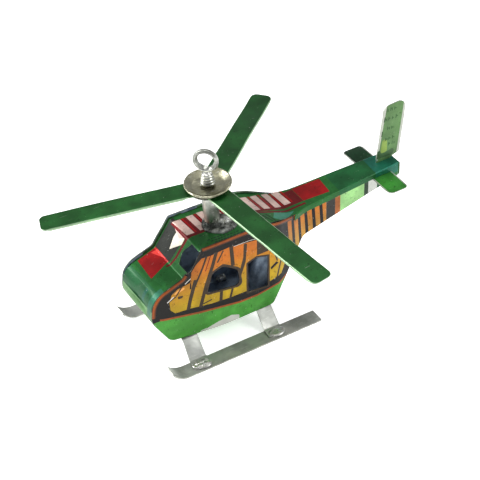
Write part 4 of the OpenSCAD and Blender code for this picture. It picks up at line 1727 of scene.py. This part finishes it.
class CoilMaker:
    """Geometry Nodes that wind a wire into a coil."""

    def __init__(self) -> None:
        """Builds the node tree."""
        group = bpy.data.node_groups.new("wound_wire", "GeometryNodeTree")
        self.sockets: dict[str, str] = {}
        wanted = (
            ("Turns", "NodeSocketFloat"), ("Start Radius", "NodeSocketFloat"),
            ("End Radius", "NodeSocketFloat"), ("Height", "NodeSocketFloat"),
            ("Wire Radius", "NodeSocketFloat"), ("Waver", "NodeSocketFloat"), ("Seed", "NodeSocketFloat"),
            ("Material", "NodeSocketMaterial"))
        group.interface.new_socket("Geometry", in_out="INPUT", socket_type="NodeSocketGeometry")
        for name, kind in wanted:
            self.sockets[name] = group.interface.new_socket(name, in_out="INPUT", socket_type=kind).identifier
        group.interface.new_socket("Geometry", in_out="OUTPUT", socket_type="NodeSocketGeometry")
        tree = Tree(group)
        given = tree.node("NodeGroupInput").outputs
        spiral = tree.node("GeometryNodeCurveSpiral", {
            "Resolution": 40, "Rotations": given["Turns"], "Start Radius": given["Start Radius"],
            "End Radius": given["End Radius"], "Height": given["Height"]})
        place = tree.node("GeometryNodeInputPosition")
        noise = tree.node("ShaderNodeTexNoise", {
            "Vector": place.outputs[0], "W": given["Seed"], "Scale": 420.0, "Detail": 1.0},
            noise_dimensions="4D")
        centred = tree.node(
            "ShaderNodeVectorMath", {0: noise.outputs["Color"], 1: (0.5, 0.5, 0.5)}, operation="SUBTRACT")
        scaled = tree.node(
            "ShaderNodeVectorMath", {0: centred.outputs[0], "Scale": given["Waver"]}, operation="SCALE")
        shifted = tree.node(
            "GeometryNodeSetPosition", {"Geometry": spiral.outputs[0], "Offset": scaled.outputs[0]})
        section = tree.node(
            "GeometryNodeCurvePrimitiveCircle", {"Resolution": 16, "Radius": given["Wire Radius"]})
        skin = tree.node("GeometryNodeCurveToMesh", {
            "Curve": shifted.outputs[0], "Profile Curve": section.outputs[0], "Fill Caps": True})
        real = tree.node("GeometryNodeRealizeInstances", {"Geometry": skin.outputs[0]})
        painted = tree.node(
            "GeometryNodeSetMaterial", {"Geometry": real.outputs[0], "Material": given["Material"]})
        last = tree.node("NodeGroupOutput")
        group.links.new(painted.outputs[0], last.inputs[0])
        self.group = group

    def wind(self, name: str, frame: Matrix, material: bpy.types.Material,
            **sizes: float) -> bpy.types.Object:
        """Winds one coil.

        Args:
            name: Name of the piece.
            frame: Its frame, in millimetres.
            material: Its material.
            sizes: Turns, start_radius, end_radius, height, wire_radius, waver and seed, in millimetres.

        Returns:
            The piece, as a plain mesh at the origin.
        """
        values: dict[str, object] = {"Material": material}
        for key, value in sizes.items():
            label = key.replace("_", " ").title()
            values[label] = value if label in ("Turns", "Seed") else value * MM
        return made_by_nodes(name, self.group, self.sockets, values, frame)


def made_by_nodes(
    name: str, group: bpy.types.NodeTree, sockets: dict[str, str], values: dict[str, object], frame: Matrix,
) -> bpy.types.Object:
    """Runs a node tree on an empty mesh and keeps its result.

    Args:
        name: Name of the piece.
        group: The node tree.
        sockets: Identifier of each input.
        values: Value of each input.
        frame: Frame of the result, in millimetres.

    Returns:
        The piece.
    """
    carrier = bpy.data.objects.new(name + "_carrier", bpy.data.meshes.new(name + "_carrier"))
    bpy.context.scene.collection.objects.link(carrier)
    modifier = carrier.modifiers.new("nodes", "NODES")
    modifier.node_group = group
    for key, value in values.items():
        modifier[sockets[key]] = value
    carrier.update_tag()
    bpy.context.view_layer.update()
    graph = bpy.context.evaluated_depsgraph_get()
    mesh = bpy.data.meshes.new_from_object(carrier.evaluated_get(graph), depsgraph=graph)
    carrier.modifiers.remove(modifier)
    bpy.data.objects.remove(carrier)
    shift = frame.copy()
    shift.translation = frame.translation * MM
    mesh.transform(shift)
    mesh.name = name
    mesh.polygons.foreach_set("use_smooth", np.ones(len(mesh.polygons), bool))
    piece = bpy.data.objects.new(name, mesh)
    bpy.context.scene.collection.objects.link(piece)
    outward(piece)
    return piece


@dataclass
class Spindle:
    """The wire up the mast, the eye at its top and the cone of wire that keeps the rotor on."""

    wire_r: float = 0.6
    eye_r: float = 2.5
    eye_up: float = 9.9

    def build(self, finishes: Finishes) -> tuple[list[bpy.types.Object], bpy.types.Object]:
        """Builds wire, eye and cone.

        Args:
            finishes: The finishes.

        Returns:
            The pieces of the wire and its eye, and the cone.
        """
        maker = CoilMaker()
        eye_z = MAST.height + self.eye_up
        low = np.array([(0, 0, z) for z in np.linspace(-2.4, eye_z - self.eye_r - 0.5, 40)], float)
        shank = loft("spindle_shank", placed(tube_rings(low, np.full(len(low), self.wire_r)), MAST.foot()),
            finishes.wire)
        turn = Matrix.Rotation(math.radians(MAST.eye_turn), 4, "Z") @ Matrix.Rotation(
            math.radians(90), 4, "Y")
        frame = MAST.foot() @ Matrix.Translation((0, 0, eye_z)) @ turn @ Matrix.Translation((0, 0, -0.5))
        eye = maker.wind("spindle_eye", frame, finishes.wire, turns=2.1, start_radius=self.eye_r + 0.6,
                         end_radius=self.eye_r + 0.85, height=1.0, wire_radius=0.64, waver=0.14, seed=3.0)
        cone_frame = MAST.foot() @ Matrix.Translation((0, 0, MAST.height + 1.3))
        cone = maker.wind("shank_wrap_wire", cone_frame, finishes.wire, turns=4.6, start_radius=1.95,
                          end_radius=0.95, height=3.9, wire_radius=0.52, waver=0.16, seed=5.0)
        blob = lump("eye_solder", MAST.foot() @ Matrix.Translation((0, 0, MAST.height + 5.0)), (1.25, 1.2),
                    1.1, finishes.solder, 75, 0.25)
        return [shank, eye, blob], cone


@dataclass
class Hub:
    """The two discs that clamp the blades."""

    low_r: float = 6.2
    floor_r: float = 4.9
    rim_r: float = 6.95
    rim_up: float = 1.25
    thick: float = 0.3

    def lower(self, finishes: Finishes) -> bpy.types.Object:
        """Builds the flat lower disc.

        Args:
            finishes: The finishes.

        Returns:
            The piece.
        """
        profile = rounded([(0.68, 0, 0.05), (self.low_r, 0, 0.12), (self.low_r, -self.thick, 0.12),
                           (0.68, -self.thick, 0.05)], turn=30.0)
        return lathe("lower_hub_disc_tin", profile, MAST.rotor(), finishes.tin, dents=Dents(81, 0.06, 5.0))

    def upper(self, finishes: Finishes) -> bpy.types.Object:
        """Builds the dished upper disc with its rolled rim.

        Args:
            finishes: The finishes.

        Returns:
            The piece.
        """
        t = self.thick
        top = rounded([(0.68, t, 0), (self.floor_r - 0.1, t, 1.3), (self.rim_r - 0.15, self.rim_up + t, 0)],
            False, 10.0)
        bead = [(self.rim_r - 0.1 + 0.34 * math.cos(a), self.rim_up + 0.12 + 0.34 * math.sin(a))
                for a in np.linspace(math.radians(120), math.radians(-110), 14)]
        under = rounded(
            [(self.rim_r - 0.15, self.rim_up - 0.1, 0), (self.floor_r, 0, 1.6), (0.68, 0, 0)], False, 10.0)
        frame = MAST.rotor() @ Matrix.Translation((0, 0, LINES.tin))
        return lathe(
            "upper_hub_disc_dish", [*top, *bead, *under], frame, finishes.disc, dents=Dents(82, 0.12, 6.0))


@dataclass
class Blade:
    """One rotor blade: a flat root, then a channel with folded edges that droops."""

    number: int
    turn: float
    reach: float
    root: float = 7.2
    tip: float = 6.9
    droop: float = 2.6
    start: float = 2.5
    bend: float = 7.3
    lip: float = 0.45
    fold: float = 0.35
    corner: float = 1.7

    def section(self, half: float, lip: float, tin: float) -> tuple[np.ndarray, list[Colour]]:
        """Gives the blade's cross-section.

        Args:
            half: Half the width.
            lip: Depth of the folded edges.
            tin: Thickness.

        Returns:
            Points across and up, and the ink of each, with a painted highlight on the rounded edges.
        """
        green = [ink(24, 82, 30), ink(28, 92, 34), ink(26, 86, 32)][self.number % 3]
        # Painted highlight: the rounded long edges take a lighter green than the top, standing in for the
        # light they catch.
        painted_edge_highlight = ink(150, 196, 140, 0.25)
        round_r = 0.28
        fold = min(self.fold, half * 0.4)
        points: list[Point] = []
        tones: list[Colour] = []
        for y in np.linspace(-half + round_r, half - round_r, 15):
            points.append((float(y), tin))
            tones.append(green)
        for a in np.radians((60, 30, 0)):
            points.append((half - round_r + round_r * math.cos(a), tin - round_r + round_r * math.sin(a)))
            tones.append(painted_edge_highlight)
        right = [
            (half, -lip + 0.08), (half - 0.08, -lip), (half - fold + 0.06, -lip),
            (half - fold, -lip + 0.06), (half - fold, 0.0)]
        points += right
        tones += [painted_edge_highlight, BARE, BARE, BARE, BARE]
        for y in np.linspace(half - fold - 0.1, -half + fold + 0.1, 8):
            points.append((float(y), 0.0))
            tones.append(BARE)
        points += [(-y, z) for y, z in reversed(right)]
        tones += [BARE, BARE, BARE, BARE, painted_edge_highlight]
        for a in np.radians((0, 30, 60)):
            points.append((-half + round_r - round_r * math.cos(a), tin - round_r + round_r * math.sin(a)))
            tones.append(painted_edge_highlight)
        return np.array(points), tones

    def build(self, finishes: Finishes) -> bpy.types.Object:
        """Builds the blade.

        Args:
            finishes: The finishes.

        Returns:
            The piece.
        """
        end = self.reach
        stations = np.unique(np.concatenate((
            np.linspace(self.start, self.bend - 0.3, 6), np.linspace(self.bend, self.bend + 1.0, 5),
            np.linspace(self.bend + 1.2, end - self.corner - 1.0, 60),
            end - self.corner * (1 - np.sin(np.radians(np.linspace(0, 86, 12)))))))
        dents = Dents(90 + self.number, 0.1, 16.0)
        rings, paint = [], []
        droop = math.radians(self.droop)
        for r in stations:
            share = (r - self.start) / (end - self.start)
            half = (self.root + (self.tip - self.root) * share) / 2
            into = max(0.0, r - (end - self.corner))
            if into > 0:
                half -= self.corner - math.sqrt(max(self.corner**2 - into**2, 0.0))
            lip = self.lip * float(np.clip((r - self.bend) / 0.8, 0, 1)) * float(
                np.clip((end - self.corner - r) / 0.8, 0, 1))
            points, tones = self.section(half, lip, LINES.tin)
            past = max(0.0, r - self.bend)
            wave = dents.at(np.stack((np.full(len(points), r), points[:, 0] * 0.7, 0 * points[:, 0]), 1))
            wave = wave * min(1.0, past / 4)
            x = min(r, self.bend) + past * math.cos(droop) + points[:, 1] * math.sin(droop) * (past > 0)
            z = -past * math.sin(droop) + points[:, 1] * math.cos(droop) + wave
            rings.append(np.stack((x, points[:, 0], z), 1))
            dark = 1.0 - 0.25 * max(0.0, share - 0.6)
            paint.append([(c[0] * dark, c[1] * dark, c[2] * dark, c[3]) for c in tones])
        frame = MAST.rotor() @ Matrix.Rotation(math.radians(self.turn), 4, "Z")
        return loft(f"rotor_blade_{self.number}_printed", placed(np.array(rings), frame), finishes.blade,
                    colour=np.array(paint).reshape(-1, 4), sharp=35)


# ---- legs and skids --------------------------------------------------------------------------
@dataclass
class Leg:
    """One strap under the belly that ends in two flared feet."""

    name: str
    middle_x: float
    middle_z: float
    reach: float = 13.55
    foot: float = 4.3
    width: float = 5.2
    thick: float = 0.4
    flare: float = 0.16

    def build(self, finishes: Finishes) -> bpy.types.Object:
        """Builds the strap.

        Args:
            finishes: The finishes.

        Returns:
            The piece.
        """
        side_y, z = 9.3, self.middle_z
        half = [(self.reach + self.foot, self.thick, 0.0), (self.reach, self.thick, 1.2),
            (side_y - 0.3, z, 1.6)]
        path = Path(rounded([*half, *[(-y, h, r) for y, h, r in reversed(half)]], closed=False))
        dents = Dents(int(abs(self.middle_x) * 7), 0.14, 8.0)

        def place(u: np.ndarray, v: np.ndarray) -> np.ndarray:
            spot, left = path.at(u), path.left(u)
            near = np.minimum(u, path.length - u)
            wide = 1 + self.flare * np.clip(1 - (near - 1.5) / 5.0, 0, 1)
            up = self.thick + dents.at(np.stack((u, v, 0 * u), 1)) * np.clip(near / 3, 0, 1)
            return np.stack(
                (self.middle_x + v * wide, spot[:, 0] - left[:, 0] * up, spot[:, 1] - left[:, 1] * up), 1)

        w = self.width / 2
        outline = rounded(
            [(0, -w, 0.9), (path.length, -w, 0.7), (path.length, w, 1.0), (0, w, 0.8)], turn=20.0)
        folds = [((float(m), -5.0), (float(m), 5.0)) for m in path.marks[1:-1]]
        sheet = Sheet(self.name, outline, BARE, [], [], folds, step=1.0, thick=self.thick, back=BARE)
        return sheet.build(place, [finishes.tin, finishes.tin, finishes.cut])


@dataclass
class Skid:
    """One skid: a flat strip with its front curled up."""

    side: Side
    rear_x: float = -27.7
    curl_x: float = 19.2
    curl_r: float = 7.2
    curl: float = 56.0
    inner_y: float = 13.75
    width: float = 5.2
    thick: float = 0.4

    def build(self, finishes: Finishes) -> bpy.types.Object:
        """Builds the skid.

        Args:
            finishes: The finishes.

        Returns:
            The piece.
        """
        r = self.curl_r - self.thick
        bend = [(self.curl_x + r * math.sin(math.radians(a)), self.curl_r - r * math.cos(math.radians(a)))
                for a in np.linspace(0, self.curl, 12)]
        path = Path([(self.rear_x, self.thick), *bend])
        dents = Dents(140 + int(self.side.value), 0.1, 12.0)
        middle = self.side.value * (self.inner_y + self.width / 2)

        def place(u: np.ndarray, v: np.ndarray) -> np.ndarray:
            spot, left = path.at(u), path.left(u)
            lift = dents.at(np.stack((u, v, 0 * u), 1)) * 0.6
            return np.stack((spot[:, 0] + left[:, 0] * lift, middle + v, spot[:, 1] + left[:, 1] * lift), 1)

        w = self.width / 2
        outline = rounded(
            [(0, -w, 0.3), (path.length, -w, 0.5), (path.length, w, 0.5), (0, w, 0.3)], turn=20.0)
        folds = [((float(m), -5.0), (float(m), 5.0)) for m in path.marks[1:-1]]
        sheet = Sheet(f"{self.side.name.lower()}_skid_strip", outline, BARE, [], [], folds, step=1.3,
                      thick=self.thick, back=BARE)
        return sheet.build(place, [finishes.tin, finishes.tin, finishes.cut])


# ---- studio ----------------------------------------------------------------------------------
@dataclass
class Studio:
    """Floor, lights and camera."""

    turn: float = 60.31
    rise: float = 38.925
    roll: float = -1.967
    distance: float = 473.435
    lens: float = 115.167
    aim: tuple[float, float, float] = (-8.6207, 0.0, 18.9655)
    slide: tuple[float, float] = (-1.01552, -6.9)

    def axes(self) -> tuple[Vector, Vector, Vector]:
        """Gives the camera's right, up and backward directions."""
        a, e, r = (math.radians(x) for x in (self.turn, self.rise, self.roll))
        back = Vector((math.cos(e) * math.cos(a), math.cos(e) * math.sin(a), math.sin(e)))
        right = Vector((0, 0, 1)).cross(back).normalized()
        up = back.cross(right)
        return right * math.cos(r) + up * math.sin(r), up * math.cos(r) - right * math.sin(r), back

    def camera(self) -> None:
        """Sets up the camera."""
        right, up, back = self.axes()
        place = Vector(self.aim) + back * self.distance - right * self.slide[0] - up * self.slide[1]
        data = bpy.data.cameras.new("camera")
        data.lens = self.lens
        data.sensor_width = 36.0
        data.clip_start = 0.01
        data.clip_end = 10.0
        camera = bpy.data.objects.new("camera", data)
        camera.matrix_world = Matrix((
            (right.x, up.x, back.x, place.x * MM), (right.y, up.y, back.y, place.y * MM),
            (right.z, up.z, back.z, place.z * MM), (0, 0, 0, 1)))
        bpy.context.scene.collection.objects.link(camera)
        bpy.context.scene.camera = camera

    def light(self, name: str, place: tuple[float, float, float], size: float, power: float) -> None:
        """Adds a soft light that faces the model.

        Args:
            name: Name of the light.
            place: Its place, in metres.
            size: Its width, in metres.
            power: Its power, in watts.
        """
        data = bpy.data.lights.new(name, "AREA")
        data.size = size
        data.energy = power
        lamp = bpy.data.objects.new(name, data)
        lamp.location = place
        lamp.rotation_euler = (Vector((-0.01, 0, 0.025)) - Vector(place)).to_track_quat("-Z", "Y").to_euler()
        bpy.context.scene.collection.objects.link(lamp)
        lamp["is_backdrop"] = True

    def floor(self) -> None:
        """Adds the plain floor."""
        material, tree, shader = new_material("studio_floor")
        place = tree.node("ShaderNodeTexCoord").outputs["Object"]
        noise = tree.node("ShaderNodeTexNoise", {"Vector": place, "Scale": 3.0, "Detail": 2.0})
        colour = tree.mix(noise.outputs[0], (0.93, 0.93, 0.93, 1), (0.96, 0.96, 0.96, 1))
        wire_up(tree, shader, {"Base Color": colour, "Roughness": 0.9, "Specular IOR Level": 0.0,
                               "Emission Color": (1, 1, 1, 1), "Emission Strength": 0.5})
        corners = np.array(
            [(-3000, -3000, -0.05), (3000, -3000, -0.05), (3000, 3000, -0.05), (-3000, 3000, -0.05)], float)
        floor = write_mesh("floor", corners, [(0, 1, 2, 3)], [material])
        floor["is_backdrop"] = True

    def sky(self) -> None:
        """Sets the soft light that comes from all round."""
        world = bpy.data.worlds.new("studio")
        bpy.context.scene.world = world
        world.use_nodes = True
        tree = Tree(world.node_tree)
        ground = world.node_tree.nodes["Background"]
        direction = tree.node("ShaderNodeTexCoord").outputs["Generated"]
        parts = tree.node("ShaderNodeSeparateXYZ", {0: direction})
        ramp = tree.node("ShaderNodeValToRGB", {0: parts.outputs[2]})
        stops = ramp.color_ramp.elements
        stops[0].position, stops[0].color = 0.0, (0.7, 0.71, 0.73, 1)
        stops[1].position, stops[1].color = 1.0, (0.55, 0.55, 0.54, 1)
        middle = stops.new(0.5)
        middle.color = (0.3, 0.31, 0.33, 1)
        world.node_tree.links.new(ramp.outputs[0], ground.inputs["Color"])
        ground.inputs["Strength"].default_value = 1.0

    def build(self) -> None:
        """Builds the studio."""
        self.camera()
        self.floor()
        self.sky()
        self.light("left_softbox", (0.34, -0.26, 0.30), 0.22, 2.2)
        self.light("right_softbox", (-0.32, 0.30, 0.34), 0.24, 1.4)
        self.light("top_softbox", (-0.05, -0.10, 0.55), 0.24, 1.0)
        bpy.context.scene.view_settings.view_transform = "Standard"


# ---- all together ----------------------------------------------------------------------------
KEPT_NODES = {
    "nose_seam_solder": "solder", "side_seam_solder": "solder", "tail_solder": "solder",
    "spindle_plug": "solder", "spindle_anchor": "solder", "blade_solder": "solder",
    "leg_solder": "solder",
}


def attach(piece: bpy.types.Object, body: Body, slot: str, *nodes: str) -> None:
    """Fixes a piece to its body.

    Args:
        piece: The piece.
        body: The body it rides on.
        slot: The material slot of the record; not used.
        nodes: CAD nodes that it stands for.
    """
    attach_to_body(piece, body.value)
    if nodes:
        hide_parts(*nodes)
    LOG.info("built %s with %d faces", piece.name, len(piece.data.polygons))


def dress_kept_nodes(frame: dict, finishes: Finishes) -> None:
    """Gives the CAD nodes that stay their finish.

    Args:
        frame: The loaded frame.
        finishes: The finishes.
    """
    for name, finish in KEPT_NODES.items():
        node = frame["nodes"][name]
        node.data.materials.clear()
        node.data.materials.append(getattr(finishes, finish))
        LOG.info("finished %s", name)


def build_fuselage(finishes: Finishes) -> None:
    """Builds every piece of the fuselage.

    Args:
        finishes: The finishes.
    """
    for side in Side:
        cabin = CabinSide(side)
        attach(cabin.panel(finishes), Body.FUSELAGE, "printed_side", cabin.name)
        for hem in cabin.hems(finishes):
            attach(hem, Body.FUSELAGE, "printed_side")
    attach(TopStrip().strip(finishes), Body.FUSELAGE, "printed_top", "top_strip")
    attach(BellyStrip().strip(finishes), Body.FUSELAGE, "green_tin", "belly_strip")
    tail = Tail()
    attach(tail.fin(finishes), Body.FUSELAGE, "fin_tin", "tail_fin")
    attach(tail.stabilizer(finishes), Body.FUSELAGE, "green_tin", "stabilizer")
    mast = Mast()
    attach(mast.tube(finishes), Body.FUSELAGE, "bare_tin", "mast_tube")
    apron, fillet, bead = mast.solder(finishes)
    attach(apron, Body.FUSELAGE, "solder", "mast_solder")
    attach(fillet, Body.FUSELAGE, "solder")
    attach(bead, Body.FUSELAGE, "solder", "solder_bead")
    (shank, eye, blob), cone = Spindle().build(finishes)
    attach(shank, Body.FUSELAGE, "wire", "spindle_wire")
    attach(eye, Body.FUSELAGE, "wire")
    attach(blob, Body.FUSELAGE, "solder")
    attach(cone, Body.FUSELAGE, "wire", "shank_wrap")


def build_landing_gear(finishes: Finishes) -> None:
    """Builds legs, skids and the solder on the feet.

    Args:
        finishes: The finishes.
    """
    legs = [Leg("front_leg_strap_tin", 13.9, 6.02), Leg("rear_leg_strap_tin", -12.4, 5.45)]
    for leg, node in zip(legs, ("front_leg_strap", "rear_leg_strap")):
        attach(leg.build(finishes), Body.FUSELAGE, "bare_tin", node)
    for side in Side:
        attach(Skid(side).build(finishes), Body.FUSELAGE, "bare_tin", f"{side.name.lower()}_skid")
    count = 0
    for side in Side:
        for leg in legs:
            count += 1
            place = Matrix.Translation((leg.middle_x - 0.3, side.value * (leg.reach + 2.6), 0.72))
            heap = lump(
                f"foot_solder_heap_{count}", place, (2.8, 2.0), 0.65, finishes.solder, 150 + count, 0.35)
            attach(heap, Body.FUSELAGE, "solder", *(["foot_solder"] if count == 1 else []))


def build_rotor(finishes: Finishes) -> None:
    """Builds the hub and the blades.

    Args:
        finishes: The finishes.
    """
    hub = Hub()
    attach(hub.lower(finishes), Body.ROTOR, "bare_tin", "lower_hub_disc")
    attach(hub.upper(finishes), Body.ROTOR, "hub_disc", "upper_hub_disc")
    for blade in (Blade(1, -18.4, 50.2), Blade(2, 96.9, 52.2), Blade(3, 220.1, 50.2)):
        attach(blade.build(finishes), Body.ROTOR, "green_tin", f"rotor_blade_{blade.number}")


def corners() -> list[list[float]]:
    """Gives the shown object's lowest and highest corner as plain lists."""
    return [[float(c) for c in corner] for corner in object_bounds()]


def main() -> None:
    """Builds the scene."""
    logging.basicConfig(level=logging.INFO, format="%(message)s")
    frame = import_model()
    finishes = Finishes()
    build_fuselage(finishes)
    build_landing_gear(finishes)
    build_rotor(finishes)
    dress_kept_nodes(frame, finishes)
    Studio().build()


if __name__ == "__main__":
    main()
